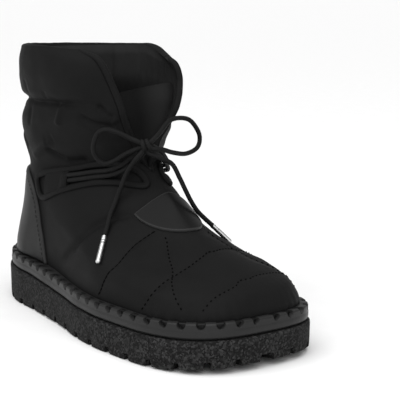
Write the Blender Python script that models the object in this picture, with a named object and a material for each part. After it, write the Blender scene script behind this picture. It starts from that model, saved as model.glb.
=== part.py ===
"""Winter ankle boot for the right foot: padded nylon upper on a lugged crumb-rubber sole.

Metres, +Z up. The toe points along +X and the outer (lateral) side along -Y. The boot stands on z = 0 with
the middle of its sole's box over the origin. Sizes below are in millimetres and are scaled once, in mesh_object.
"""

import math

import bmesh
import bpy
import numpy as np

MM = 0.001

# Driving dimensions of the sole.
SOLE_LENGTH = 268.0
SOLE_SWING = 7.2            # how far the toe end swings to the inner side
HEEL_CAP, HEEL_POWER = 0.23, 2.0    # share of the length taken by the round heel, and its roundness
TOE_CAP, TOE_POWER = 0.25, 3.0      # the same for the toe
TREAD_DEPTH = 4.2
SOLE_STEPS = (              # inset of each step of the side, and its place from the top or from the ground
    (0.9, 0.0, None),
    (0.0, -1.0, None),
    (0.2, None, 6.0),
    (1.6, None, TREAD_DEPTH),
)
LUG_COUNT = 34
LUG_SHARE = 0.8             # how much of the pitch a lug fills
LUG_REACH = 17.0            # how far a lug runs in from the edge
LUG_INSET, LUG_ROOT = 0.5, 1.2      # its set-back from the edge, and how far it runs up into the sole
BARS = (                    # middle, half length and skew of each bar across the tread
    (-96, 7, 0), (-72, 7, 0), (-40, 6, 6), (-14, 6, 6), (14, 7, 6), (38, 7, 6), (62, 7, 6), (86, 7, 4),
)
BAR_MARGIN = 26.0           # from a bar's end to the sole's edge
WELT_HEIGHT = 10.0
WELT_INSET = 1.3            # how far the welt's face lies inside the outsole's
WELT_ROUND = 1.2            # the rounding of its top edge
POCKET_COUNT = 54
POCKET_SPAN = (0.24, 0.36, 0.64, 0.76)      # where a pocket starts, is deep and ends in its pitch
POCKET_DEPTH = 2.6
WELT_LEAST = 0.9            # the least rubber left behind a pocket
POCKET_HEIGHT = 4.2

# Driving dimensions of the upper.
WALL = 3.0
SEAT_GAP = 0.3              # between pieces that touch
SNUG = 0.30                 # added to it where both faces bend
INSOLE_THICK, INSOLE_EASE = 4.0, 0.8
COUNTER_THICK, COUNTER_ROUND = 1.5, 84.5    # its thickness, and where its top edge starts to round
STRIP_THICK, STRIP_HALF, STRIP_START = 1.1, 11.0, 1.6   # it starts just over the counter
PATCH_THICK = 1.2
TONGUE_THICK, TONGUE_EDGE = 6.0, 1.2        # padded middle and thin edge
TONGUE_ROUND, TONGUE_DOME = 12.0, 0.96      # length and fullness of its rounded top
TONGUE_TAPER = 20.0         # length of its thin foot
TONGUE_LEAN = (-0.92, 0.0, -0.39)           # the way from its front face to its back
BAND_WIDTH, BAND_THICK, BAND_LIFT = 4.4, 2.2, 1.0
TAB_THICK = 1.4
BAR_SECTION = ((-0.5, -0.5), (-0.5, 0.15), (-0.22, 0.5), (0.22, 0.5), (0.5, 0.15), (0.5, -0.5))   # half-round
BINDING_WIDTH, BINDING_THICK = 3.4, 4.6
BINDING_FOOT, BINDING_PROUD = 106.0, 1.0    # where it starts, and its set forward of the wall's middle

# Driving dimensions of the lace.
LACE_DIAMETER = 3.0
AGLET_DIAMETER = 3.3
KNOT_RADIUS = 4.2

AROUND = 40                 # points round the upper
EVEN = 0.15                 # how much its points are drawn from the ends to the sides
WIDE_ROW = 11.5             # rows of the upper further apart than this get one between them
STATIONS = 30               # points along each side of the sole


def monotone_curve(keys, values, at):
    """Reads a smooth curve through the rows of a table, with no overshoot between them."""
    step = np.diff(keys)
    slope = np.diff(values) / step
    tangent = np.zeros(len(keys))
    product = slope[:-1] * slope[1:]
    total = np.where(product > 0, slope[:-1] + slope[1:], 1.0)
    tangent[1:-1] = np.where(product > 0, 2 * product / total, 0.0)
    tangent[0], tangent[-1] = slope[0], slope[-1]
    at = np.clip(at, keys[0], keys[-1])
    row = np.clip(np.searchsorted(keys, at) - 1, 0, len(step) - 1)
    share = (at - keys[row]) / step[row]
    back = 1 - share
    return (values[row] * (1 + 2 * share) * back**2
            + values[row + 1] * (3 - 2 * share) * share**2
            + step[row] * share * back * (tangent[row] * back - tangent[row + 1] * share))


class Table:
    """Rows of sizes with named columns; the first column is the key that the others are read at."""

    def __init__(self, columns, rows):
        data = np.array(rows, float)
        self.keys = data[:, 0]
        self.columns = dict(zip(columns.split(), data.T))

    def read(self, column, at):
        return monotone_curve(self.keys, self.columns[column], np.asarray(at, float))


# Half widths of the sole, the height of its tread off the ground and of its top, along its length.
SOLE = Table("station lateral medial ground top", [
    (0.00, 42.4, 42.4, 1.6, 24.0),
    (0.07, 42.4, 42.4, 0.0, 24.0),
    (0.22, 42.4, 42.4, 0.0, 23.2),
    (0.36, 45.6, 43.4, 0.7, 21.4),
    (0.46, 49.4, 47.6, 0.7, 20.0),
    (0.58, 56.0, 52.6, 0.0, 19.0),
    (0.68, 58.4, 55.2, 0.0, 18.6),
    (0.80, 57.6, 55.4, 0.2, 18.6),
    (0.90, 55.8, 54.8, 1.6, 19.0),
    (1.00, 54.2, 54.2, 4.4, 20.2),
])

# Sections of the upper by height: where each starts and ends, its half widths at heel and ball, how long
# and how round its two ends are, and how far its padding swells.
UPPER = Table("height back front heel ball back_cap front_cap front_power puff", [
    (19.0, -122.0, 125.5, 33.6, 49.6, 40.0, 68.0, 2.90, 0.0),
    (30.0, -122.8, 126.6, 34.0, 51.0, 40.0, 68.0, 2.80, 0.0),
    (38.0, -121.8, 124.2, 34.2, 51.0, 40.0, 70.0, 2.50, 0.0),
    (46.0, -119.2, 115.5, 34.4, 49.8, 40.0, 78.0, 2.15, 0.0),
    (54.0, -116.0, 95.0, 34.6, 47.0, 40.0, 92.0, 1.90, 0.0),
    (61.0, -113.0, 77.0, 34.7, 45.0, 40.0, 100.0, 1.80, 0.0),
    (68.0, -110.0, 63.0, 34.8, 43.0, 40.0, 104.0, 1.75, 0.0),
    (76.0, -107.2, 52.0, 35.0, 41.5, 40.0, 104.0, 1.70, 0.0),
    (84.0, -105.2, 42.5, 35.2, 40.0, 40.0, 102.0, 1.65, 0.0),
    (91.0, -103.8, 34.0, 35.2, 38.5, 41.0, 98.0, 1.60, 0.0),
    (98.0, -102.8, 27.0, 35.4, 37.6, 43.0, 92.0, 1.55, 0.0),
    (106.0, -102.4, 23.5, 36.0, 37.0, 46.0, 88.0, 1.50, 1.6),
    (118.0, -102.8, 26.5, 37.4, 37.4, 50.0, 82.0, 1.55, 4.2),
    (130.0, -103.8, 29.2, 39.0, 39.0, 51.0, 80.0, 1.80, 3.4),
    (142.0, -104.4, 31.2, 40.4, 40.4, 54.0, 76.0, 2.00, 0.0),
    (150.0, -104.4, 32.2, 41.0, 41.0, 58.0, 72.0, 2.00, 3.2),
    (160.0, -104.4, 32.4, 41.6, 41.6, 62.0, 69.0, 2.00, 4.6),
    (172.0, -104.8, 23.0, 42.0, 42.0, 60.0, 64.0, 2.00, 3.4),
    (180.0, -105.4, 13.5, 41.6, 41.6, 58.0, 60.0, 2.00, 0.8),
])

# The throat: half the gap between the two flaps by height.
THROAT = Table("height half_gap", [
    (100.0, 0.0),
    (106.0, 4.6),
    (118.0, 9.4),
    (136.0, 18.9),
    (149.0, 24.7),
    (160.0, 27.8),
    (172.0, 28.6),
    (180.0, 34.0),
])

# The tongue's front face by height: its middle, its half width and how far its sides sweep back.
TONGUE = Table("height middle half_width sweep", [
    (85.0, 31.6, 7.0, 5.0),
    (92.0, 26.2, 8.0, 6.5),
    (100.0, 19.4, 9.0, 8.0),
    (108.0, 15.0, 12.0, 11.0),
    (118.0, 12.4, 17.5, 15.0),
    (130.0, 10.4, 23.5, 18.0),
    (142.0, 7.4, 28.5, 19.0),
    (150.0, 4.4, 31.0, 19.0),
])

# The counter's front edge by height, the same on both sides.
COUNTER = Table("height front", [
    (34.0, -52.0),
    (45.0, -55.0),
    (58.0, -58.5),
    (68.0, -60.5),
    (75.0, -62.5),
    (82.0, -65.5),
    (88.0, -70.5),
    (91.0, -75.0),
    (93.2, -80.4),
    (94.6, -86.6),
    (95.2, -93.0),
])

# The ankle band's loop: the place round the boot and the height of each of its points, along the upper rail
# to the throat and back along the lower rail.
BAND_ROUTE = (
    (0.293, 94.1), (0.247, 97.6), (0.200, 100.5), (0.167, 103.0), (0.134, 104.0), (0.102, 103.4), (0.070, 101.2),
    (0.056, 96.6),
    (0.067, 92.7), (0.114, 93.6), (0.143, 93.6), (0.174, 92.6), (0.199, 90.7), (0.226, 88.0), (0.254, 84.8),
    (0.281, 80.6), (0.300, 78.0),
    (0.312, 80.6), (0.312, 90.0),
)
TAB_BACK, TAB_FRONT = -50.0, -25.6
TAB_MARGIN = 2.7            # from a rail's middle to the tab's edge

# The patch: it starts behind at PATCH_BACK, with two swept corners, and ends in a round point in front.
PATCH_BACK, PATCH_SWEEP, PATCH_HALF = 36.4, 5.4, 20.5
PATCH_FRONT, PATCH_CORNER, PATCH_POWER = 62.0, 32.0, 0.6

# Routes of the lace, as points its centre line passes through.
KNOT = (30.8, -11.5, 118.8)
LACE_ROUTES = {
    "lace_bar_lateral": (
        (-24.4, -35.3, 94.4), (-12.3, -31.6, 96.7), (-4.0, -27.4, 98.4), (6.2, -23.4, 100.2), (14.6, -20.0, 103.4),
        (21.0, -15.8, 108.4), (25.4, -12.6, 113.0), (27.8, -11.9, 115.3)),
    "lace_bar_medial": (
        (-24.4, 29.4, 94.4), (-12.3, 28.2, 96.7), (-4.0, 26.2, 98.4), (6.2, 24.0, 100.2), (14.8, 20.8, 103.4),
        (22.0, 15.6, 108.6), (28.4, 6.0, 114.8), (31.4, -2.6, 117.4), (31.6, -6.7, 118.4)),
    "lace_loop_lateral": (
        (29.0, -15.3, 121.2), (25.0, -19.6, 123.6), (20.4, -26.0, 127.4), (14.7, -30.8, 128.8), (10.0, -34.2, 125.6),
        (7.6, -35.6, 117.2), (7.4, -33.2, 110.6), (10.2, -29.4, 107.0), (15.0, -25.6, 108.6), (22.4, -20.8, 113.8),
        (27.9, -15.5, 117.2)),
    "lace_loop_medial": (
        (33.0, -8.2, 122.1), (30.8, -2.0, 125.6), (26.6, 10.0, 133.4), (25.0, 24.0, 133.0), (24.0, 32.2, 125.6),
        (23.0, 34.8, 118.8), (24.6, 31.0, 113.6), (26.8, 21.0, 111.2), (31.4, 8.0, 113.4), (34.6, -1.6, 116.2),
        (34.6, -8.3, 117.0)),
    "lace_end_lateral": (
        (31.2, -14.4, 115.4), (28.8, -18.6, 109.8), (22.4, -20.8, 101.0), (20.0, -23.0, 92.9), (18.4, -24.8, 87.1),
        (18.1, -27.2, 81.4), (18.6, -30.4, 75.7), (20.6, -33.6, 69.5), (23.4, -37.4, 64.2)),
    "lace_end_medial": (
        (33.0, -10.8, 114.4), (36.6, -4.4, 111.2), (39.0, 2.6, 107.2), (42.0, 6.0, 98.8), (44.4, 8.8, 91.0),
        (45.8, 12.2, 83.6), (45.6, 17.6, 76.4), (45.2, 24.0, 71.0), (45.2, 29.2, 66.8)),
}
AGLETS = {
    "aglet_lateral": ((23.9, -38.0, 63.6), (36.4, -50.2, 51.0)),
    "aglet_medial": ((45.2, 29.9, 66.2), (46.6, 45.0, 55.2)),
}

THROAT_FOOT, RIM = 100.0, 180.0
UPPER_FOOT, LIFT_FADES = 19.0, 62.0
SWELL_FADE = 0.07           # share of a turn in which the padding fades
STRIP_HOLD = 0.35           # how much of the padding the back strip holds down
RIM_TILT = 4.6              # how much higher the collar is in front than behind
CORNER_DROP, CORNER_X, CORNER_RUN = 7.5, -44.0, 40.0    # the inner flap's rounded top corner
OUTER_CORNER = 0.3          # the outer flap's share of that drop
HEEL_X, BALL_X = -64.0, 45.0


def smoothstep(value):
    value = np.clip(value, 0.0, 1.0)
    return value * value * (3 - 2 * value)


def end_cap(share, power):
    """A superellipse end: 0 at the tip, 1 where the end is over."""
    share = np.clip(share, 0.0, 1.0)
    return (1 - (1 - share)**power)**(1 / power)


def swing(x):
    return SOLE_SWING * smoothstep((x / SOLE_LENGTH + 0.2) / 0.7)


def sole_plan(turn):
    """The sole's outline in plan; turn goes from 0 at the toe by the lateral side to 0.5 at the heel."""
    turn = np.mod(turn, 1.0)
    station = 0.5 + 0.5 * np.cos(2 * math.pi * turn)
    x = (station - 0.5) * SOLE_LENGTH
    half = np.where(turn < 0.5, -SOLE.read("lateral", station), SOLE.read("medial", station))
    ends = end_cap(station / HEEL_CAP, HEEL_POWER) * end_cap((1 - station) / TOE_CAP, TOE_POWER)
    return np.stack([x, swing(x) + half * ends], axis=-1)


TURNS = np.linspace(0, 1, 2 * STATIONS, endpoint=False)
PLAN_BOX = sole_plan(np.linspace(0, 1, 721))
SIDE_SHIFT = -0.5 * (PLAN_BOX[:, 1].min() + PLAN_BOX[:, 1].max())


def centre_line(x):
    """The Y of the last's centre line at x."""
    return swing(x) + SIDE_SHIFT


def station_of(x):
    return x / SOLE_LENGTH + 0.5


def ground(x):
    return SOLE.read("ground", station_of(x))


def sole_top(x):
    return SOLE.read("top", station_of(x))


def sole_edge(turn, inset=0.0):
    """A point of the sole's outline, moved in by inset."""
    small = 1e-4
    here = sole_plan(turn)
    along = sole_plan(turn + small) - sole_plan(turn - small)
    along = along / np.linalg.norm(along, axis=-1, keepdims=True)
    outward = np.stack([-along[..., 1], along[..., 0]], axis=-1)
    outward = outward * np.sign(np.sum(outward * here, axis=-1, keepdims=True))
    here = here - outward * np.asarray(inset, float)[..., None]
    here[..., 1] += SIDE_SHIFT
    return here


def half_width(x, height):
    """Half the upper's width at a place along the foot and a height."""
    back, front = UPPER.read("back", height), UPPER.read("front", height)
    spread = smoothstep((x - HEEL_X) / (BALL_X - HEEL_X))
    heel, ball = UPPER.read("heel", height), UPPER.read("ball", height)
    width = heel + (ball - heel) * spread
    return (width * end_cap((x - back) / UPPER.read("back_cap", height), 2.0)
            * end_cap((front - x) / UPPER.read("front_cap", height), UPPER.read("front_power", height)))


def upper_base(turn, height):
    """The upper's surface before its padding swells. Heights low down follow the sole's top."""
    turn, height = np.broadcast_arrays(np.mod(turn, 1.0), np.asarray(height, float))
    back, front = UPPER.read("back", height), UPPER.read("front", height)
    x = back + (front - back) * (0.5 + 0.5 * np.cos(2 * math.pi * turn))
    side = np.where(turn < 0.5, -1.0, 1.0)
    y = centre_line(x) + side * half_width(x, height)
    low = 1 - smoothstep((height - UPPER_FOOT) / (LIFT_FADES - UPPER_FOOT))
    high = smoothstep((height - THROAT_FOOT) / (RIM - THROAT_FOOT))
    rise = (sole_top(x) + SEAT_GAP - UPPER_FOOT) * low
    tilt = RIM_TILT * high * (x - 0.5 * (back + front)) / (front - back)
    corner = CORNER_DROP * smoothstep((x - CORNER_X) / CORNER_RUN) * high**3
    corner = np.where(side < 0, OUTER_CORNER, 1.0) * corner
    return np.stack([x, y, height + rise + tilt - corner], axis=-1)


def upper_normal(turn, height):
    step_turn, step_height = 1e-3, 0.2
    along = upper_base(turn + step_turn, height) - upper_base(turn - step_turn, height)
    low = np.maximum(np.asarray(height, float) - step_height, UPPER_FOOT)
    high = np.minimum(np.asarray(height, float) + step_height, RIM)
    upward = upper_base(turn, high) - upper_base(turn, low)
    normal = np.cross(upward, along)
    return normal / np.linalg.norm(normal, axis=-1, keepdims=True)


def throat_turn(height):
    """How far round from the front each flap ends at a height."""
    gap = THROAT.read("half_gap", height)
    low, high = np.zeros_like(gap), np.full_like(gap, 0.3)
    for _ in range(40):
        middle = 0.5 * (low + high)
        place = upper_base(middle, height)
        wide = np.abs(place[..., 1] - centre_line(place[..., 0]))
        low, high = np.where(wide < gap, middle, low), np.where(wide < gap, high, middle)
    return np.where(np.asarray(height) <= THROAT_FOOT, 0.0, high)


def swell(turn, height):
    """The padding's swell, which dies away at the flaps' edges and is held down under the back strip."""
    turn = np.mod(turn, 1.0)
    from_front = np.minimum(turn, 1 - turn)
    flap = smoothstep((from_front - throat_turn(height)) / SWELL_FADE)
    strip = 1 - STRIP_HOLD * smoothstep((from_front - 0.5 + SWELL_FADE) / SWELL_FADE)
    return UPPER.read("puff", height) * flap * strip


def upper_outside(turn, height, lift=0.0):
    """The upper's outer face, or a surface that lies lift above it."""
    turn, height = np.broadcast_arrays(np.asarray(turn, float), np.asarray(height, float))
    reach = swell(turn, height) + lift
    return upper_base(turn, height) + upper_normal(turn, height) * reach[..., None]


def turn_at(x, height, medial=False):
    """The turn of the point at x on one side, at a height."""
    back, front = UPPER.read("back", height), UPPER.read("front", height)
    turn = np.arccos(np.clip(2 * (x - back) / (front - back) - 1, -1, 1)) / (2 * math.pi)
    return 1 - turn if medial else turn


def height_of(x, z):
    """The table height of a point low on the upper that lies at z."""
    height = np.asarray(z, float)
    for _ in range(12):
        low = 1 - smoothstep((height - UPPER_FOOT) / (LIFT_FADES - UPPER_FOOT))
        height = z - (sole_top(x) + SEAT_GAP - UPPER_FOOT) * low
    return np.maximum(height, UPPER_FOOT)


# Mesh helpers.
def material(name, colour, roughness, metallic=0.0):
    made = bpy.data.materials.new(name)
    made.use_nodes = True
    shader = made.node_tree.nodes["Principled BSDF"]
    shader.inputs["Base Color"].default_value = (colour, colour, colour, 1.0)
    shader.inputs["Roughness"].default_value = roughness
    shader.inputs["Metallic"].default_value = metallic
    return made


def mesh_object(name, points, faces, finish, cutter=False):
    """A closed mesh object from points in millimetres."""
    form = bmesh.new()
    corners = [form.verts.new(point) for point in np.asarray(points, float) * MM]
    for face in faces:
        form.faces.new([corners[i] for i in face])
    bmesh.ops.remove_doubles(form, verts=form.verts, dist=1e-6)
    bmesh.ops.dissolve_degenerate(form, edges=form.edges, dist=1e-7)
    bmesh.ops.recalc_face_normals(form, faces=form.faces)
    bmesh.ops.triangulate(form, faces=form.faces)
    mesh = bpy.data.meshes.new(name)
    form.to_mesh(mesh)
    form.free()
    mesh.shade_smooth()
    mesh.set_sharp_from_angle(angle=math.radians(40))
    made = bpy.data.objects.new(name, mesh)
    bpy.context.collection.objects.link(made)
    if cutter:
        made.hide_render = True
        made.display_type = "WIRE"
    else:
        mesh.materials.append(finish)
    return made


def ring_faces(first, second, closed=True):
    """Quads between two rows of vertex numbers of one length."""
    count = len(first) if closed else len(first) - 1
    return [(first[i], first[(i + 1) % len(first)], second[(i + 1) % len(first)], second[i])
            for i in range(count)]


def ladder(ring):
    """Faces across a ring whose two halves mirror each other, as an outline's two sides do."""
    count = len(ring)
    half = count // 2
    steps = [(ring[i], ring[i + 1], ring[count - i - 1], ring[count - i]) for i in range(1, half - 1)]
    return [(ring[0], ring[1], ring[count - 1]), *steps, (ring[half - 1], ring[half], ring[half + 1])]


def stack_solid(name, rings, finish):
    """A solid through closed rings of one count, capped across its first and last."""
    count = len(rings[0])
    rows = [list(range(k * count, (k + 1) * count)) for k in range(len(rings))]
    faces = [face for a, b in zip(rows, rows[1:]) for face in ring_faces(a, b)]
    faces += ladder(rows[0]) + ladder(rows[-1])
    return mesh_object(name, np.concatenate(rings), faces, finish)


def shell_solid(name, inner, outer, finish):
    """A solid between two grids of points, closed round its border."""
    rows, columns = inner.shape[:2]
    low = np.arange(rows * columns).reshape(rows, columns)
    high = low + rows * columns
    faces = []
    for grid in (low, high):
        for r in range(rows - 1):
            faces += ring_faces(list(grid[r]), list(grid[r + 1]), closed=False)
    border = [*[(r, 0) for r in range(rows)], *[(rows - 1, c) for c in range(1, columns)],
              *[(r, columns - 1) for r in range(rows - 2, -1, -1)], *[(0, c) for c in range(columns - 2, 0, -1)]]
    faces += ring_faces([low[at] for at in border], [high[at] for at in border])
    points = np.concatenate([inner.reshape(-1, 3), outer.reshape(-1, 3)])
    return mesh_object(name, points, faces, finish)


def with_height(plan, z):
    return np.concatenate([plan, np.broadcast_to(z, plan.shape[:-1])[..., None]], axis=-1)


# Sole.
def make_outsole(finish):
    """The crumb-rubber unit: a slab with a rounded top edge, and lugs joined under it."""
    rings = []
    for inset, from_top, from_ground in SOLE_STEPS:
        plan = sole_edge(TURNS, np.full(len(TURNS), inset))
        level = sole_top(plan[:, 0]) + from_top if from_ground is None else ground(plan[:, 0]) + from_ground
        rings.append(with_height(plan, level))
    sole = stack_solid("outsole", rings, finish)
    lugs = mesh_object("lug_forms", *lug_forms(), None, cutter=True)
    union = sole.modifiers.new("lugs", "BOOLEAN")
    union.operation = "UNION"
    union.solver = "EXACT"
    union.object = lugs
    return sole


def even_turns(count):
    """Turns spaced evenly along the sole's edge, starting at the toe."""
    fine = np.linspace(0, 1, 2001)
    edge = sole_plan(fine)
    run = np.concatenate([[0], np.cumsum(np.linalg.norm(np.diff(edge, axis=0), axis=1))])
    return np.interp(np.linspace(0, run[-1], count, endpoint=False), run, fine)


def lug_forms():
    """Points and faces of the edge lugs and of the bars across the middle of the tread."""
    points, faces = [], []

    def add_prism(plan):
        start, count = len(points), len(plan)
        floor = ground(plan[:, 0])
        points.extend(with_height(plan, floor))
        points.extend(with_height(plan, floor + TREAD_DEPTH + LUG_ROOT))
        low, high = list(range(start, start + count)), list(range(start + count, start + 2 * count))
        faces.extend(ring_faces(low, high))
        faces.append(tuple(low))
        faces.append(tuple(high))

    starts = even_turns(LUG_COUNT)
    steps = np.diff(np.append(starts, 1.0))
    for start, step in zip(starts, steps):
        turns = start + step * np.linspace(0.5 - LUG_SHARE / 2, 0.5 + LUG_SHARE / 2, 4)
        outer = sole_edge(turns, np.full(4, LUG_INSET))
        inner = sole_edge(turns[[0, -1]], np.full(2, LUG_REACH))
        add_prism(np.concatenate([outer, inner[::-1]]))
    for middle, half_length, skew in BARS:
        reach = SOLE.read("medial", station_of(middle)) - BAR_MARGIN
        side = centre_line(middle)
        add_prism(np.array([(middle - half_length - skew, side - reach), (middle + half_length - skew, side - reach),
                            (middle + half_length + skew, side), (middle + half_length - skew, side + reach),
                            (middle - half_length - skew, side + reach), (middle - half_length + skew, side)], float))
    return points, faces


def welt_inside(turns):
    """The welt's inner face at its brim, which lies against the upper."""
    plan = sole_edge(turns)
    brim = height_of(plan[:, 0], sole_top(plan[:, 0]) + WELT_HEIGHT)
    return upper_outside(turns, brim, SEAT_GAP)


def make_welt(finish):
    """The strip round the upper, with pockets along its top edge."""
    starts = even_turns(POCKET_COUNT)
    steps = np.diff(np.append(starts, 1.0))
    turns = (starts[:, None] + steps[:, None] * np.array(POCKET_SPAN)).ravel()
    pocket = np.tile([0.0, 1.0, 1.0, 0.0], POCKET_COUNT)
    inside = welt_inside(turns)
    edge = sole_edge(turns, np.full(len(turns), WELT_INSET + WELT_ROUND))
    wall = welt_inside(np.linspace(0, 1, 1441))
    room = np.linalg.norm(edge[:, None] - wall[None, :, :2], axis=2).min(axis=1) - WELT_LEAST
    depth = np.clip(room, 0.0, POCKET_DEPTH)
    rows = []
    for inset, rise, sunk, dropped in ((WELT_INSET, SEAT_GAP, 0.0, 0.0),
                                       (WELT_INSET, WELT_HEIGHT - POCKET_HEIGHT, 0.0, 0.0),
                                       (WELT_INSET + WELT_ROUND, WELT_HEIGHT, depth, WELT_ROUND)):
        plan = sole_edge(turns, inset + pocket * sunk)
        rows.append(with_height(plan, sole_top(plan[:, 0]) + rise - pocket * dropped))
    for rise in (WELT_HEIGHT, SEAT_GAP):
        rows.append(with_height(inside[:, :2], sole_top(inside[:, 0]) + rise))
    count = len(turns)
    numbers = [list(range(k * count, (k + 1) * count)) for k in range(len(rows))]
    faces = [face for a, b in zip(numbers, numbers[1:] + numbers[:1]) for face in ring_faces(a, b)]
    return mesh_object("welt", np.concatenate(rows), faces, finish)


def make_insole(finish):
    """The foot bed inside the upper's wall."""
    plan = upper_outside(TURNS, UPPER_FOOT + 1.0, -(WALL + SEAT_GAP + INSOLE_EASE))[:, :2]
    rings = [with_height(plan, sole_top(plan[:, 0]) + rise) for rise in (SEAT_GAP, SEAT_GAP + INSOLE_THICK)]
    return stack_solid("insole", rings, finish)


# Upper.
def upper_heights():
    """The heights of the upper's rows: the table's own, one between each two wide ones, and the throat's foot."""
    keys = UPPER.keys
    wide = np.diff(keys) > WIDE_ROW
    return np.sort(np.concatenate([keys, (0.5 * (keys[:-1] + keys[1:]))[wide], [THROAT_FOOT]]))


def make_upper(finish):
    """The hollow shell: outer face, inner face, and the edges at foot, throat and collar."""
    heights = upper_heights()
    share = np.linspace(0, 1, AROUND + 1)
    share = share + EVEN * np.sin(4 * math.pi * share) / (4 * math.pi)
    edge = throat_turn(heights)[:, None]
    turns = edge + (1 - 2 * edge) * share[None, :]
    rows = heights[:, None] * np.ones_like(turns)
    outside = upper_outside(turns, rows)
    inside = upper_base(turns, rows) - upper_normal(turns, rows) * WALL
    closed = heights <= THROAT_FOOT
    for grid in (outside, inside):
        grid[closed, -1] = grid[closed, 0]
    foot = sole_top(inside[0, :, 0]) + SEAT_GAP
    inside[0, :, 2] = foot
    outside[0, :, 2] = sole_top(outside[0, :, 0]) + SEAT_GAP
    count = AROUND + 1
    outer = np.arange(outside.shape[0] * count).reshape(-1, count)
    inner = outer + outer.size
    faces = []
    for low, high in zip(range(len(heights) - 1), range(1, len(heights))):
        faces += ring_faces(list(outer[low]), list(outer[high]), closed=False)
        faces += ring_faces(list(inner[low]), list(inner[high]), closed=False)
    first_open = int(np.argmax(~closed)) - 1
    for column in (0, count - 1):
        for row in range(first_open, len(heights) - 1):
            faces.append((outer[row, column], outer[row + 1, column], inner[row + 1, column], inner[row, column]))
    faces += ring_faces(list(outer[0]), list(inner[0]), closed=False)
    faces += ring_faces(list(outer[-1]), list(inner[-1]), closed=False)
    points = np.concatenate([outside.reshape(-1, 3), inside.reshape(-1, 3)])
    return mesh_object("upper", points, faces, finish)


def make_tongue(finish):
    """The padded tongue, which lies inside the flaps and shows between them."""
    heights = np.linspace(TONGUE.keys[0], TONGUE.keys[-1], 10)
    across = np.linspace(-1, 1, 9)
    into_round = (heights - TONGUE.keys[-1] + TONGUE_ROUND) / TONGUE_ROUND
    top_round = np.sqrt(1 - TONGUE_DOME * into_round.clip(0, 1)**2)
    share = across[None, :] * top_round[:, None]
    middle, half, sweep = (TONGUE.read(column, heights)[:, None] for column in ("middle", "half_width", "sweep"))
    x = middle - sweep * share**2
    front = np.stack([x, centre_line(middle) + half * share, heights[:, None] * np.ones_like(x)], axis=-1)
    edge = 1 - across**6
    foot = np.sqrt(np.clip((heights - TONGUE.keys[0]) / TONGUE_TAPER, 0, 1))
    thick = TONGUE_EDGE + (TONGUE_THICK - TONGUE_EDGE) * edge[None, :] * foot[:, None]
    back = front + np.array(TONGUE_LEAN) * thick[..., None]
    return shell_solid("tongue", front, back, finish)


def shell_on_upper(name, turns, heights, lift, thick, finish):
    """An overlay between two forms of the upper's own face, over a grid of places on it."""
    inner = upper_outside(turns, heights, lift)
    outer = upper_outside(turns, heights, lift + thick)
    return shell_solid(name, inner, outer, finish)


def make_counter(finish):
    """The leather panel round the heel, from the welt to its rounded top edge."""
    low = COUNTER.keys[0]
    between = upper_heights()
    rows = np.concatenate([[low], between[(between > low) & (between < COUNTER_ROUND)], COUNTER.keys[-5:]])
    edge = turn_at(COUNTER.read("front", rows), rows)
    turns = edge[:, None] + (1 - 2 * edge[:, None]) * np.linspace(0, 1, 17)[None, :]
    heights = rows[:, None] * np.ones_like(turns)
    foot = upper_base(turns[0], heights[0])[:, 0]
    heights[0] = height_of(foot, sole_top(foot) + WELT_HEIGHT + SEAT_GAP)
    return shell_on_upper("heel_counter", turns, heights, SEAT_GAP + SNUG, COUNTER_THICK, finish)


def side_turn(offset, height):
    """The turn near the heel at which the upper's lateral side lies offset from its centre line."""
    low, high = np.full_like(offset, 0.4), np.full_like(offset, 0.5)
    for _ in range(40):
        middle = 0.5 * (low + high)
        place = upper_base(middle, height)
        short = np.abs(place[..., 1] - centre_line(place[..., 0])) > offset
        low, high = np.where(short, middle, low), np.where(short, high, middle)
    return high


def make_back_strip(finish):
    """The fabric strip up the back of the shaft, from the counter to the collar."""
    between = upper_heights()
    foot = COUNTER.keys[-1] + STRIP_START
    heights = np.concatenate([[foot], between[between > foot]])
    across = np.linspace(-1, 1, 5)
    rows = heights[:, None] * np.ones((1, len(across)))
    offset = STRIP_HALF * np.abs(across)[None, :] * np.ones_like(rows)
    lateral = side_turn(offset, rows)
    turns = np.where(across[None, :] < 0, lateral, 1 - lateral)
    return shell_on_upper("back_strip", turns, rows, SEAT_GAP + SNUG, STRIP_THICK, finish)


def crown_height(x, y):
    """The table height at which the vamp lies over a point of the plan."""
    low, high = np.full_like(x, UPPER_FOOT), np.full_like(x, THROAT_FOOT)
    for _ in range(40):
        middle = 0.5 * (low + high)
        covered = half_width(x, middle) > np.abs(y - centre_line(x))
        low, high = np.where(covered, middle, low), np.where(covered, high, middle)
    return low


def make_patch(finish):
    """The leather leaf on the instep, cut from the vamp's own face."""
    across = np.sin(np.linspace(-1, 1, 13) * math.pi / 2)
    back = PATCH_BACK - PATCH_SWEEP * across**2
    front = PATCH_CORNER + (PATCH_FRONT - PATCH_CORNER) * (1 - across**2)**PATCH_POWER
    share = np.linspace(0, 1, 6)[:, None]
    x = back[None, :] + (front - back)[None, :] * share
    y = centre_line(x) + PATCH_HALF * across[None, :] * np.ones_like(x)
    heights = crown_height(x, y)
    side = turn_at(x, heights)
    turns = np.where(across[None, :] < 0, side, 1 - side)
    return shell_on_upper("throat_patch", turns, heights, SEAT_GAP + SNUG, PATCH_THICK, finish)


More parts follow.
